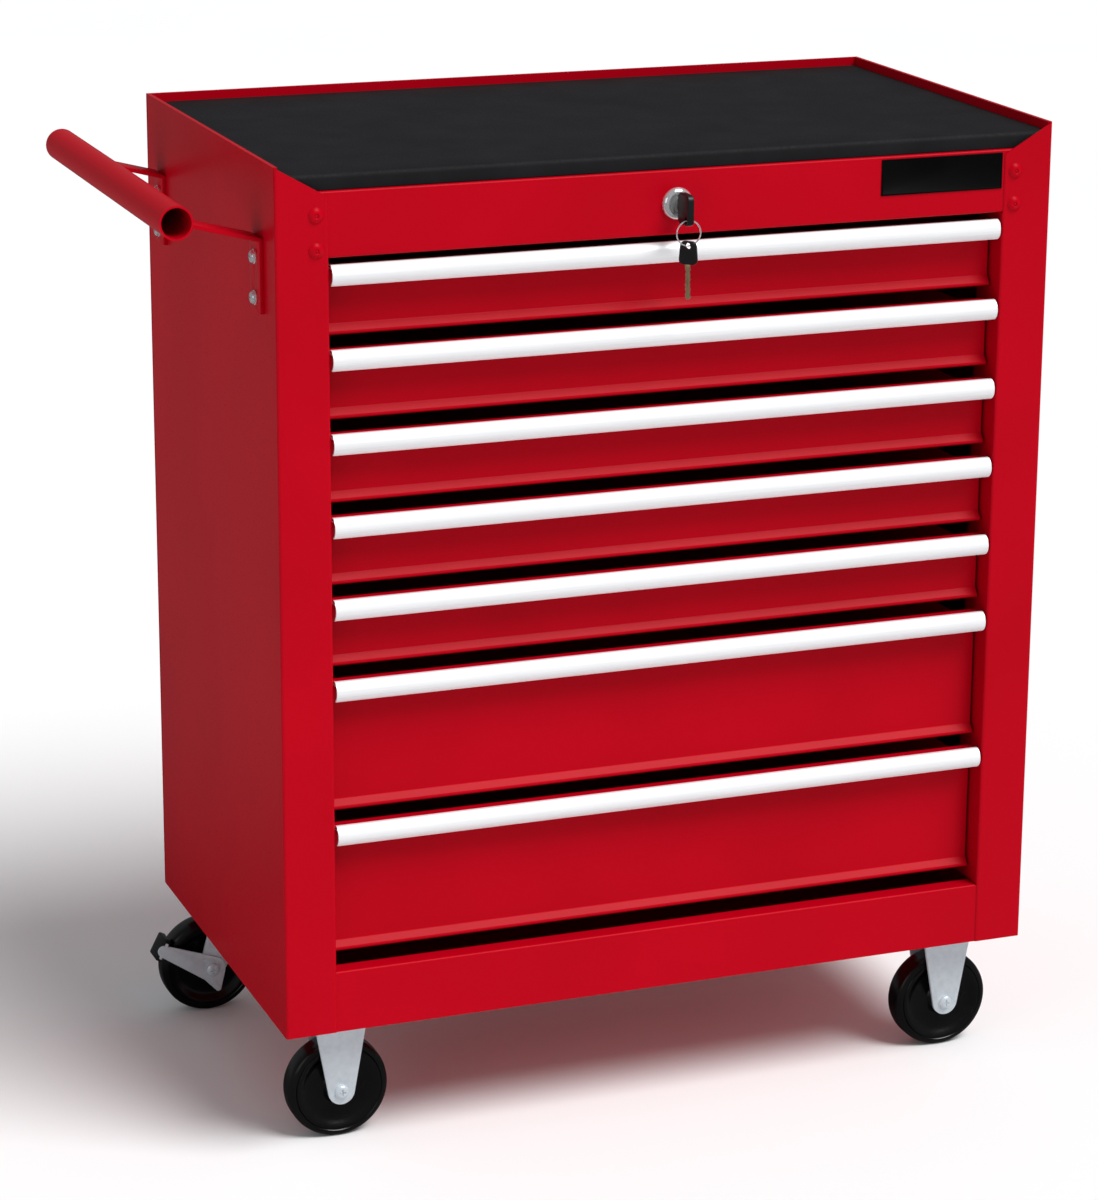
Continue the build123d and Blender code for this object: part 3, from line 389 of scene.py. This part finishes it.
def settle(name):
    """Name the new primitive, and put its place, turn and size into its mesh."""
    piece = bpy.context.object
    piece.name = name
    piece.data.name = name
    bpy.ops.object.transform_apply(location=True, rotation=True, scale=True)
    return piece


def bar(name, low, high):
    """A rectangular bar between two corners, ready to be shaped."""
    only(None)
    low, high = Vector(low), Vector(high)
    bpy.ops.mesh.primitive_cube_add(size=1, location=(low + high) / 2)
    bpy.context.object.scale = high - low
    return settle(name)


def round_edges(piece, width, segments=3, angle=30):
    """Round every edge that is sharper than the angle, and smooth the shading between them."""
    only(piece)
    bevel = piece.modifiers.new("round", "BEVEL")
    bevel.width = width
    bevel.segments = segments
    bevel.limit_method = "ANGLE"
    bevel.angle_limit = radians(angle)
    bevel.use_clamp_overlap = True
    bpy.ops.object.modifier_apply(modifier=bevel.name)
    bpy.ops.object.shade_smooth_by_angle(angle=radians(40))
    return piece


AXES = {"X": (Vector((1, 0, 0)), (0, pi / 2, 0)), "Y": (Vector((0, 1, 0)), (-pi / 2, 0, 0)),
        "Z": (Vector((0, 0, 1)), (0, 0, 0))}


def turned(name, centre, axis, rings, sides=64):
    """A turned piece: (distance along the axis, radius) rings, closed over both ends."""
    along, turn = AXES[axis]
    centre = Vector(centre)
    at, radius = rings[0]
    only(None)
    bpy.ops.mesh.primitive_circle_add(vertices=sides, radius=radius, fill_type="NGON",
                                      location=centre + along * at, rotation=turn)
    piece = settle(name)
    bpy.ops.object.mode_set(mode="EDIT")
    bpy.ops.mesh.select_all(action="SELECT")
    for next_at, next_radius in rings[1:]:
        bpy.ops.mesh.extrude_region_move(TRANSFORM_OT_translate={"value": along * (next_at - at)})
        ratio = next_radius / radius
        bpy.ops.transform.resize(value=(ratio, ratio, ratio), center_override=centre + along * next_at)
        at, radius = next_at, next_radius
    bpy.ops.mesh.select_all(action="SELECT")
    bpy.ops.mesh.normals_make_consistent(inside=False)
    bpy.ops.object.mode_set(mode="OBJECT")
    bpy.ops.object.shade_smooth_by_angle(angle=radians(35))
    return piece


def another(piece, name, move, turn=None, about=(0, 0, 0)):
    """A copy with its own mesh, turned about a point and moved."""
    twin = piece.copy()
    twin.data = piece.data.copy()
    twin.name = name
    twin.data.name = name
    bpy.context.scene.collection.objects.link(twin)
    if turn:
        pivot = Matrix.Translation(about)
        twin.data.transform(pivot @ turn @ pivot.inverted())
    twin.data.transform(Matrix.Translation(move))
    return twin


def welded(name, parts):
    """Several meshes joined into one piece."""
    only(parts[0])
    for part in parts[1:]:
        part.select_set(True)
    bpy.ops.object.join()
    piece = bpy.context.object
    piece.name = name
    piece.data.name = name
    return piece


def fit(piece, body, finish, slot, *nodes):
    """Give a finished piece its material, its body and the CAD nodes that it stands for."""
    piece.data.materials.clear()
    piece.data.materials.append(finish)
    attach(piece, body)
    if nodes:
        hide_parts(*nodes)
    print(piece.name, "on", body, len(piece.data.polygons), "faces")
    return piece


def middle(node):
    """The centre of a CAD node's box."""
    low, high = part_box(node)
    return (low + high) / 2


# %% [markdown]
# ## Wheels
#
# Each wheel is one moulding: a crowned tread, shoulders with a soft radius, a dished face with one
# fine ring in it, and a raised hub for the axle. A lathe profile says all of that, so the wheel is
# turned once and copied to the four axles. A small moulding mark off the centre shows its turning.

# %% Wheels
wheel_nodes = ["rigid_wheel_left", "rigid_wheel_right", "swivel_wheel_left", "swivel_wheel_right"]
wheel_low, wheel_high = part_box(wheel_nodes[0])
wheel_at = (wheel_low + wheel_high) / 2
wheel_r = (wheel_high.z - wheel_low.z) / 2
hub_half = (wheel_high.y - wheel_low.y) / 2
hub_step = 3 * mm
rim_half = hub_half - hub_step
dish_depth = 6.6 * mm
mark_radius = 21 * mm

half_profile = [
    (hub_half, 4.2 * mm), (hub_half, 8.4 * mm), (hub_half - 0.8 * mm, 9.6 * mm),
    (hub_half - 4.5 * mm, 11.2 * mm), (hub_half - 6.2 * mm, 13.0 * mm),
    (hub_half - dish_depth, 16 * mm), (hub_half - 6.4 * mm, 24.2 * mm),
    (hub_half - 5.6 * mm, 27.6 * mm), (hub_half - 4.2 * mm, 29.0 * mm), (rim_half - 0.9 * mm, 30.0 * mm),
    (rim_half - 0.3 * mm, 30.8 * mm), (rim_half, 31.8 * mm), (rim_half - 0.1 * mm, 33.6 * mm),
    (rim_half - 0.7 * mm, 34.1 * mm), (rim_half - 0.2 * mm, 34.7 * mm), (rim_half - 0.6 * mm, 36.2 * mm),
    (rim_half - 1.8 * mm, wheel_r - 1.7 * mm), (rim_half - 3.4 * mm, wheel_r - 0.6 * mm),
    (rim_half - 5.6 * mm, wheel_r - 0.1 * mm), (2 * mm, wheel_r),
]
wheel_profile = [(-at, radius) for at, radius in half_profile] + half_profile[::-1]


def make_wheel():
    disc = turned("wheel_blank", wheel_at, "Y", wheel_profile, sides=96)
    mark_at = wheel_at + Vector((mark_radius, -(hub_half - dish_depth), 0))
    mark_rings = [(0.6 * mm, 2.4 * mm), (-0.4 * mm, 2.2 * mm), (-0.6 * mm, 1.8 * mm), (-0.4 * mm, 1.4 * mm)]
    mark = turned("wheel_mark", mark_at, "Y", mark_rings, sides=24)
    return welded("wheel_blank", [disc, mark])


first_wheel = make_wheel()
for node in wheel_nodes[1:]:
    next_wheel = another(first_wheel, "moulded_" + node, middle(node) - wheel_at)
    fit(next_wheel, node, wheel_plastic, "wheel_black", node)
first_wheel.name = "moulded_" + wheel_nodes[0]
fit(first_wheel, wheel_nodes[0], wheel_plastic, "wheel_black", wheel_nodes[0])

# %% [markdown]
# ## Axle bolts
#
# A caster's wheel turns on a bolt whose pan head has a pressed cross recess, and whose thread ends in
# a lock nut. The head and shank are turned, the nut is a six-sided cylinder with eased edges, and the
# recess is two small bars taken out by a Boolean cut, because a recess is easier to subtract than to
# build.


# %% Axle bolts
arm_width = 0.2
nut_height = 5 * mm
nut_radius = 5.4 * mm
shank_radius = 3.95 * mm


def cross_recess(head, centre, axis, radius, depth):
    """Cut a cross-shaped driver recess into a head."""
    along, _ = AXES[axis]
    across = [v for v, _ in AXES.values() if v != along]
    arms = []
    for wide, thin in (across, across[::-1]):
        half = wide * radius + thin * radius * arm_width + along * depth
        arms.append(bar("recess", Vector(centre) - half, Vector(centre) + half))
    for arm in arms:
        only(head)
        cut = head.modifiers.new("recess", "BOOLEAN")
        cut.operation = "DIFFERENCE"
        cut.object = arm
        bpy.ops.object.modifier_apply(modifier=cut.name)
    for arm in arms:
        bpy.data.objects.remove(arm)
    bpy.ops.object.shade_smooth_by_angle(angle=radians(35))


def axle_bolt(name, centre, front, back):
    """A bolt along Y: pan head in front, shank, and a hexagon lock nut at the back."""
    nut_front = back - nut_height
    head = turned(name, (centre.x, 0, centre.z), "Y", [
        (front, 1.2 * mm), (front + 0.1 * mm, 2.8 * mm), (front + 0.5 * mm, 4.2 * mm),
        (front + 1.3 * mm, 5.2 * mm), (front + 2.4 * mm, 5.5 * mm), (front + 3.0 * mm, 5.5 * mm),
        (front + 3.0 * mm, shank_radius), (nut_front, shank_radius), (back, 3.9 * mm),
        (back, 0.5 * mm)], sides=48)
    cross_recess(head, (centre.x, front, centre.z), "Y", 2.6 * mm, 1.1 * mm)
    only(None)
    bpy.ops.mesh.primitive_cylinder_add(vertices=6, radius=nut_radius, depth=back - nut_front,
                                        location=(centre.x, (nut_front + back) / 2, centre.z),
                                        rotation=(pi / 2, 0, 0))
    nut = round_edges(settle("lock_nut_blank"), 0.5 * mm)
    return welded(name, [head, nut])


rigid_low, rigid_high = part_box("rigid_caster_axles")
rigid_axles = [axle_bolt("rigid_axle_" + side, middle("rigid_wheel_" + side), rigid_low.y, rigid_high.y)
               for side in ("left", "right")]
fit(welded("rigid_axle_bolts", rigid_axles), "cabinet", zinc_plate, "zinc_steel", "rigid_caster_axles")
for side in ("left", "right"):
    low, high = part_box("swivel_axle_" + side)
    bolt = axle_bolt("swivel_axle_bolt_" + side, (low + high) / 2, low.y, high.y)
    fit(bolt, "swivel_" + side, zinc_plate, "zinc_steel", "swivel_axle_" + side)

# %% [markdown]
# ## Rivets on the front corners
#
# The side flanges are closed onto the top rail with dome-head rivets, painted over with the body.
# Each has a small dimple from the setting tool. The dome is turned in a few rings, which is enough
# once it is shaded smooth.

# %% Rivets
rivet_low, rivet_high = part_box("front_rivets")
rivet_r = 6 * mm
rivet_rings = [
    (2.6, 0.2), (2.0, 1.0), (1.9, 1.3), (2.35, 1.6), (2.55, 2.0), (2.45, 2.6), (2.15, 3.5), (1.65, 4.4),
    (1.0, 5.2), (0.45, 5.75), (0.2, 6.0), (-0.05, 6.0), (-0.05, 0.5),
]
dome_height = 2.6 * mm
rivet_face = rivet_low.y + dome_height
rivets = []
for x in (rivet_low.x + rivet_r, rivet_high.x - rivet_r):
    for z in (rivet_low.z + rivet_r, rivet_high.z - rivet_r):
        rings = [(-at * mm, max(radius, 0.2) * mm) for at, radius in rivet_rings]
        rivets.append(turned("rivet", (x, rivet_face, z), "Y", rings, sides=40))
fit(welded("dome_rivets", rivets), "cabinet", red_enamel, "red_enamel", "front_rivets")

# %% [markdown]
# ## Push handle bolts
#
# Each bracket is held by two plated pan-head bolts with a wide washer face. They are turned along X
# and get the same cross recess as the axles.

# %% Handle bolts
handle_low, handle_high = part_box("handle_bolts")
head_r = 5.5 * mm
panel_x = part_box("left_side_panel")[0].x
bracket_thickness = 3 * mm
head_height = 4 * mm
bracket_face = panel_x - bracket_thickness
bolts = []
for y in (handle_low.y + head_r, handle_high.y - head_r):
    for z in (handle_low.z + head_r, handle_high.z - head_r):
        rings = [(-4.0, 1.0), (-3.9, 2.4), (-3.5, 3.6), (-2.7, 4.5), (-1.6, 4.8), (-0.9, 4.8), (-0.9, 5.5),
                 (-0.2, 5.5), (0.0, 5.4), (0.0, 3.0), (4.0, 3.0), (4.0, 5.0), (8.7, 5.0), (9.0, 4.4),
                 (9.0, 0.6)]
        rings = [(at * mm, radius * mm) for at, radius in rings]
        head = turned("handle_bolt", (bracket_face, y, z), "X", rings, sides=40)
        cross_recess(head, (bracket_face - head_height, y, z), "X", 2.4 * mm, 1.2 * mm)
        bolts.append(head)
fit(welded("handle_pan_bolts", bolts), "cabinet", bright_chrome, "chrome", "handle_bolts")

# %% [markdown]
# ## Worktop mat
#
# The mat is a slab of foam rubber about 12 mm thick, cut a little smaller than the tray. Its front
# edge is rolled over softly, and its top is not quite flat: it lies in very shallow waves. The front
# edge of a bar is bevelled wide. Then planes cut the bar into a grid, so that its top has points to
# move, and these are lowered by a slow wave that fades out towards the front and the back.

# %% Worktop mat
mat_low, mat_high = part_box("top_mat")
near = 0.01 * mm
cuts_along = 32
cuts_deep = 18
front_margin = 8 * mm
back_margin = 4 * mm
wave_depth = 0.35 * mm
front_fade = 40 * mm
back_fade = 20 * mm
mat = bar("worktop_slab", mat_low, mat_high)
only(mat)
front_top = [e for e in mat.data.edges if all(
    abs(mat.data.vertices[v].co.y - mat_low.y) < near and abs(mat.data.vertices[v].co.z - mat_high.z) < near
    for v in e.vertices)]
weights = mat.data.attributes.new("bevel_weight_edge", "FLOAT", "EDGE")
for edge in front_top:
    weights.data[edge.index].value = 1.0
roll = mat.modifiers.new("roll", "BEVEL")
roll.limit_method = "WEIGHT"
roll.width = 4.2 * mm
roll.segments = 8
bpy.ops.object.modifier_apply(modifier=roll.name)
round_edges(mat, 0.8 * mm, segments=3, angle=50)
bpy.ops.object.mode_set(mode="EDIT")
for step in range(1, cuts_along):
    x = mat_low.x + (mat_high.x - mat_low.x) * step / cuts_along
    bpy.ops.mesh.select_all(action="SELECT")
    bpy.ops.mesh.bisect(plane_co=(x, 0, 0), plane_no=(1, 0, 0))
for step in range(1, cuts_deep):
    span = mat_high.y - mat_low.y - front_margin - back_margin
    y = mat_low.y + front_margin + span * step / cuts_deep
    bpy.ops.mesh.select_all(action="SELECT")
    bpy.ops.mesh.bisect(plane_co=(0, y, 0), plane_no=(0, 1, 0))
bpy.ops.object.mode_set(mode="OBJECT")
# 23 and 31 radians in a metre are waves about 270 and 200 mm long.
for vertex in mat.data.vertices:
    if vertex.co.z > mat_high.z - 0.5 * mm:
        wave = 0.5 + 0.25 * sin(vertex.co.x * 23 + 1.1) + 0.25 * sin(vertex.co.y * 31 + vertex.co.x * 9)
        inside = min(1.0, (vertex.co.y - mat_low.y) / front_fade, (mat_high.y - vertex.co.y) / back_fade)
        vertex.co.z -= wave_depth * wave * max(0.0, inside)
fit(mat, "cabinet", mat_rubber, "mat_rubber", "top_mat")

# %% [markdown]
# ## Badge plate
#
# A blank black plate sits on the right of the top rail. It is a thin sheet with eased edges and a
# shallow border, made by an inset and a small step down.

# %% Badge plate
badge_low, badge_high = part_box("badge_plate")
border_width = 1.1 * mm
step_width = 0.3 * mm
step_depth = 0.25 * mm
badge = bar("badge_blank", badge_low, badge_high)
bpy.ops.object.mode_set(mode="EDIT")
bpy.ops.mesh.select_all(action="DESELECT")
bpy.ops.object.mode_set(mode="OBJECT")
for face in badge.data.polygons:
    face.select = face.normal.y < -0.9
bpy.ops.object.mode_set(mode="EDIT")
bpy.ops.mesh.select_mode(type="FACE")
bpy.ops.mesh.inset(thickness=border_width, depth=0)
bpy.ops.mesh.inset(thickness=step_width, depth=-step_depth)
bpy.ops.object.mode_set(mode="OBJECT")
round_edges(badge, 0.15 * mm, segments=2, angle=40)
fit(badge, "cabinet", badge_lacquer, "black_plastic", "badge_plate")

# %% [markdown]
# ## Lock
#
# A cam lock shows a chrome ring, domed towards its edge, around a plug with the keyway. The barrel
# goes back through the rail. The ring is turned with a groove beside the plug, where a dark line
# shows. The plug keeps its CAD shape, since its keyway is already cut.

# %% Lock head
barrel_low, barrel_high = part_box("lock_barrel")
barrel_mid = (barrel_low + barrel_high) / 2
barrel_len = (barrel_high.y - barrel_low.y) / mm
lock_rings = [
    (barrel_len, 6.6), (barrel_len, 9.0), (barrel_len - 0.5, 9.5), (4.5, 9.5), (4.5, 11.7), (4.2, 12.0),
    (3.3, 12.0), (2.6, 11.8), (1.5, 11.1), (0.6, 10.0), (0.1, 8.9), (0.0, 8.3), (0.15, 7.7), (0.7, 7.3),
    (0.75, 6.6), (barrel_len, 6.6),
]
lock_head = turned("lock_ring", (barrel_mid.x, barrel_low.y, barrel_mid.z), "Y",
                   [(at * mm, radius * mm) for at, radius in lock_rings], sides=72)
bpy.ops.object.mode_set(mode="EDIT")
bpy.ops.mesh.select_all(action="DESELECT")
bpy.ops.object.mode_set(mode="OBJECT")
for face in lock_head.data.polygons:
    is_end_cap = len(face.vertices) > 4
    face.select = is_end_cap
bpy.ops.object.mode_set(mode="EDIT")
bpy.ops.mesh.delete(type="ONLY_FACE")
bpy.ops.mesh.select_all(action="SELECT")
bpy.ops.mesh.remove_doubles(threshold=0.01 * mm)
bpy.ops.mesh.normals_make_consistent(inside=False)
bpy.ops.object.mode_set(mode="OBJECT")
fit(lock_head, "cabinet", bright_chrome, "chrome", "lock_barrel")

# %% [markdown]
# ## Keys
#
# One key is in the lock and its spare hangs from a split ring. Each has a moulded black bow over a
# brass blade. A bow is a bar with strongly rounded corners, pierced for the ring. The spare's blade
# shows its cuts: planes divide the blade along its length, and each row of points is moved in by a
# depth of its own.


# %% Keys
ring_hole_r = 2.5 * mm
drill_length = 20 * mm


def pierce(piece, centre):
    """Cut the hole for the ring through a key bow, along X."""
    only(None)
    bpy.ops.mesh.primitive_cylinder_add(vertices=40, radius=ring_hole_r, depth=drill_length, location=centre,
                                        rotation=(0, pi / 2, 0))
    drill = settle("drill")
    only(piece)
    cut = piece.modifiers.new("hole", "BOOLEAN")
    cut.operation = "DIFFERENCE"
    cut.object = drill
    bpy.ops.object.modifier_apply(modifier=cut.name)
    bpy.data.objects.remove(drill)
    bpy.ops.object.shade_smooth_by_angle(angle=radians(35))


def soft_bow(name, low, high, corner):
    """A key bow: a bar that is thin along X, with round corners and softened faces."""
    bow = bar(name, low, high)
    weight = bow.data.attributes.new("bevel_weight_edge", "FLOAT", "EDGE")
    for edge in bow.data.edges:
        a, b = (bow.data.vertices[v].co for v in edge.vertices)
        if abs((b - a).normalized().x) > 0.9:
            weight.data[edge.index].value = 1.0
    corners = bow.modifiers.new("corners", "BEVEL")
    corners.limit_method = "WEIGHT"
    corners.width = corner
    corners.segments = 8
    bpy.ops.object.modifier_apply(modifier=corners.name)
    return round_edges(bow, 0.7 * mm, segments=3, angle=50)


key_low, key_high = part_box("key")
ring_low, ring_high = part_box("key_ring")
ring_mid = (ring_low + ring_high) / 2
ring_r = (ring_high.x - ring_low.x) / 2
wire_r = 0.6 * mm
hole_z = ring_high.z - wire_r
bow_length = 20 * mm
bow_back = key_low.y + bow_length
key_bow = soft_bow("key_bow", key_low, (key_high.x, bow_back, key_high.z), corner=4.5 * mm)
pierce(key_bow, (ring_mid.x, ring_mid.y, hole_z))
fit(key_bow, "key", moulded_plastic, "black_plastic", "key")
blade_half = 1.0 * mm
blade_half_height = 3.8 * mm
blade_root = 1 * mm
blade_z = middle("lock_plug").z
key_blade = bar("key_blade", (ring_mid.x - blade_half, bow_back - blade_root, blade_z - blade_half_height),
                (ring_mid.x + blade_half, key_high.y, blade_z + blade_half_height))
fit(round_edges(key_blade, 0.3 * mm), "key", key_brass, "chrome")

coils = []
for step in (-0.5, 0.5):
    only(None)
    bpy.ops.mesh.primitive_torus_add(major_radius=ring_r - wire_r, minor_radius=0.5 * mm, major_segments=64,
                                     minor_segments=10, location=ring_mid + Vector((0, step * 0.2 * mm, 0)),
                                     rotation=(pi / 2, radians(3 * step), radians(2 * step)))
    coils.append(settle("coil"))
split_ring = welded("split_ring", coils)
only(split_ring)
bpy.ops.object.shade_smooth()
fit(split_ring, "key_ring", bright_chrome, "chrome", "key_ring")

# The spare hangs from the lowest point of the ring and is turned towards the left.
spare_hole_z = ring_low.z + wire_r
spare_turn = Matrix.Rotation(radians(45), 4, "Z")
spare_at = Vector((ring_mid.x, ring_mid.y, 0))
spare_bow_length = 17.5 * mm
spare_blade_length = 26 * mm
spare_bow_half = 7.5 * mm
spare_bow_half_thickness = 1.5 * mm
spare_blade_half_width = 2.2 * mm
bow_taper = 0.18
bow_top = spare_hole_z + 3.6 * mm
bow_foot = bow_top - spare_bow_length
blade_tip = bow_foot - spare_blade_length
spare_bow = soft_bow("spare_bow", spare_at + Vector((-spare_bow_half_thickness, -spare_bow_half, bow_foot)),
                     spare_at + Vector((spare_bow_half_thickness, spare_bow_half, bow_top)), corner=4.0 * mm)
pierce(spare_bow, (ring_mid.x, ring_mid.y, spare_hole_z))
for vertex in spare_bow.data.vertices:
    narrower = bow_taper * (vertex.co.z - bow_foot) / (bow_top - bow_foot)
    vertex.co.y -= (vertex.co.y - spare_at.y) * narrower
spare_bow.data.transform(Matrix.Translation(spare_at) @ spare_turn @ Matrix.Translation(-spare_at))
fit(spare_bow, "key_ring", moulded_plastic, "black_plastic")

spare_blade = bar("spare_blade", spare_at + Vector((-blade_half, -spare_blade_half_width, blade_tip)),
                  spare_at + Vector((blade_half, spare_blade_half_width, bow_foot + blade_root)))
bpy.ops.object.mode_set(mode="EDIT")
cut_count = 14
for step in range(1, cut_count):
    z = blade_tip + (bow_foot - blade_tip) * step / cut_count
    bpy.ops.mesh.select_all(action="SELECT")
    bpy.ops.mesh.bisect(plane_co=(0, 0, z), plane_no=(0, 0, 1))
bpy.ops.object.mode_set(mode="OBJECT")
cut_depths = [1.2, 0.8, 0.2, 1.0, 0.3, 0.6, 0.1, 0.9, 0.4, 0.7, 0.1, 0.9, 0.2, 0, 0]
for vertex in spare_blade.data.vertices:
    step = min(cut_count, round((vertex.co.z - blade_tip) / (bow_foot - blade_tip) * cut_count))
    side = 1 if vertex.co.y > spare_at.y else -1
    depth = cut_depths[step] if side > 0 or step == 0 else cut_depths[cut_count - step]
    vertex.co.y -= side * depth * mm
round_edges(spare_blade, 0.15 * mm, segments=2, angle=50)
spare_blade.data.transform(Matrix.Translation(spare_at) @ spare_turn @ Matrix.Translation(-spare_at))
fit(spare_blade, "key_ring", key_brass, "chrome")

# %% [markdown]
# ## Pressed plates with eased edges
#
# The forks, the brake levers and the handle's brackets are pressed from thick plate. A press leaves a
# small radius along every cut edge, and the plating or the paint thickens it, so each edge draws a
# thin line of light. The outlines are already right, so each piece is a copy of its CAD mesh: its
# loose triangles are merged, flat areas are dissolved into whole faces, and the edges are rounded.


# %% Eased plates
def eased_copy(node, name, width):
    """A new piece with a CAD node's shape, its sharp edges rounded."""
    piece = bpy.data.objects.new(name, frame["nodes"][node].data.copy())
    piece.data.name = name
    bpy.context.scene.collection.objects.link(piece)
    only(piece)
    bpy.ops.mesh.customdata_custom_splitnormals_clear()
    bpy.ops.object.mode_set(mode="EDIT")
    bpy.ops.mesh.select_all(action="SELECT")
    bpy.ops.mesh.remove_doubles(threshold=0.005 * mm)
    bpy.ops.mesh.dissolve_limited(angle_limit=radians(1))
    bpy.ops.object.mode_set(mode="OBJECT")
    return round_edges(piece, width, segments=2, angle=40)


fit(eased_copy("rigid_caster_forks", "pressed_rigid_forks", 0.4 * mm), "cabinet", zinc_plate, "zinc_steel",
    "rigid_caster_forks")
fit(eased_copy("handle_brackets", "pressed_brackets", 0.5 * mm), "cabinet", red_enamel, "red_enamel",
    "handle_brackets")
for side in ("left", "right"):
    fit(eased_copy("swivel_fork_" + side, "pressed_fork_" + side, 0.4 * mm), "swivel_" + side, zinc_plate,
        "zinc_steel", "swivel_fork_" + side)
    fit(eased_copy("brake_lever_" + side, "pressed_lever_" + side, 0.4 * mm), "brake_" + side, zinc_plate,
        "zinc_steel", "brake_lever_" + side)

# %% [markdown]
# ## Brake pedals
#
# The rear casters have a black plastic foot pedal on the tip of the brake lever. Its tread has ribs
# so that a boot doesn't slip. A bar is bevelled, ribs are laid on it, and both are turned to the
# lever's angle.

# %% Brake pedals
pedal_angle = radians(153)
slab_half_length = 9.6 * mm
slab_half_thickness = 3.1 * mm
rib_pitch = 2.5 * mm
rib_half_width = 0.55 * mm
rib_inset = 1.8 * mm
rib_foot = 2.6 * mm
rib_top = 3.5 * mm


def make_pedal(side):
    low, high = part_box("brake_pedal_" + side)
    centre = (low + high) / 2
    deep = (high.y - low.y) / 2
    half = Vector((slab_half_length, deep, slab_half_thickness))
    slab = bar("pedal_slab", centre - half, centre + half)
    round_edges(slab, 1.6 * mm, segments=4)
    ribs = [slab]
    for step in range(-3, 4):
        x = centre.x + step * rib_pitch
        rib = bar("pedal_rib", (x - rib_half_width, centre.y - deep + rib_inset, centre.z + rib_foot),
                  (x + rib_half_width, centre.y + deep - rib_inset, centre.z + rib_top))
        ribs.append(round_edges(rib, 0.3 * mm, segments=2))
    pedal = welded("ribbed_pedal_" + side, ribs)
    turn = Matrix.Rotation(pi / 2 - pedal_angle, 4, "Y")
    pedal.data.transform(Matrix.Translation(centre) @ turn @ Matrix.Translation(-centre))
    return pedal


for side in ("left", "right"):
    fit(make_pedal(side), "brake_" + side, moulded_plastic, "black_plastic", "brake_pedal_" + side)

# %% [markdown]
# ## Caster bolts
#
# Sixteen hexagon bolts hold the casters to the pan. They are seen only from below, but they are real
# fasteners, so each has a chamfered hexagon head, a washer, a shank and a nut. One is made and copied
# to the corners of the four plates.

# %% Caster bolts
bolts_low, bolts_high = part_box("caster_bolts")
plate_thickness = 2.5 * mm
plate_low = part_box("rigid_caster_forks")[1].z - plate_thickness
plate_pitch = 46 * mm
swivel_trail = 25 * mm
washer_thickness = 0.8 * mm
hexagon_radius = 4.45 * mm
caster_centres = []
for side in ("left", "right"):
    wheel_mid = middle("rigid_wheel_" + side)
    caster_centres.append(Vector((wheel_mid.x, wheel_mid.y, 0)))
    wheel_mid = middle("swivel_wheel_" + side)
    caster_centres.append(Vector((wheel_mid.x + swivel_trail, wheel_mid.y, 0)))


def make_caster_bolt(x, y):
    washer_low = plate_low - washer_thickness
    washer = turned("washer", (x, y, 0), "Z", [
        (washer_low, 3.0 * mm), (washer_low, 4.4 * mm), (plate_low, 4.5 * mm),
        (plate_low, 2.9 * mm), (bolts_high.z, 2.9 * mm), (bolts_high.z, 0.4 * mm)], sides=32)
    parts = [washer]
    for foot, top in ((bolts_low.z, washer_low), (bolts_high.z - 4.5 * mm, bolts_high.z - 0.4 * mm)):
        only(None)
        bpy.ops.mesh.primitive_cylinder_add(vertices=6, radius=hexagon_radius, depth=top - foot,
                                            location=(x, y, (foot + top) / 2))
        parts.append(round_edges(settle("hexagon"), 0.4 * mm, segments=2))
    return welded("caster_bolt", parts)


sample = caster_centres[0] + Vector((-plate_pitch / 2, -plate_pitch / 2, 0))
first_bolt = make_caster_bolt(sample.x, sample.y)
all_bolts = [first_bolt]
for centre in caster_centres:
    for step_x in (-0.5, 0.5):
        for step_y in (-0.5, 0.5):
            place = centre + Vector((step_x * plate_pitch, step_y * plate_pitch, 0))
            if (place - sample).length > mm:
                all_bolts.append(another(first_bolt, "caster_bolt", place - sample))
fit(welded("caster_hex_bolts", all_bolts), "cabinet", zinc_plate, "zinc_steel", "caster_bolts")

# %% [markdown]
# ## The end
#
# Nothing is left selected at the end.

# %% The end
only(None)
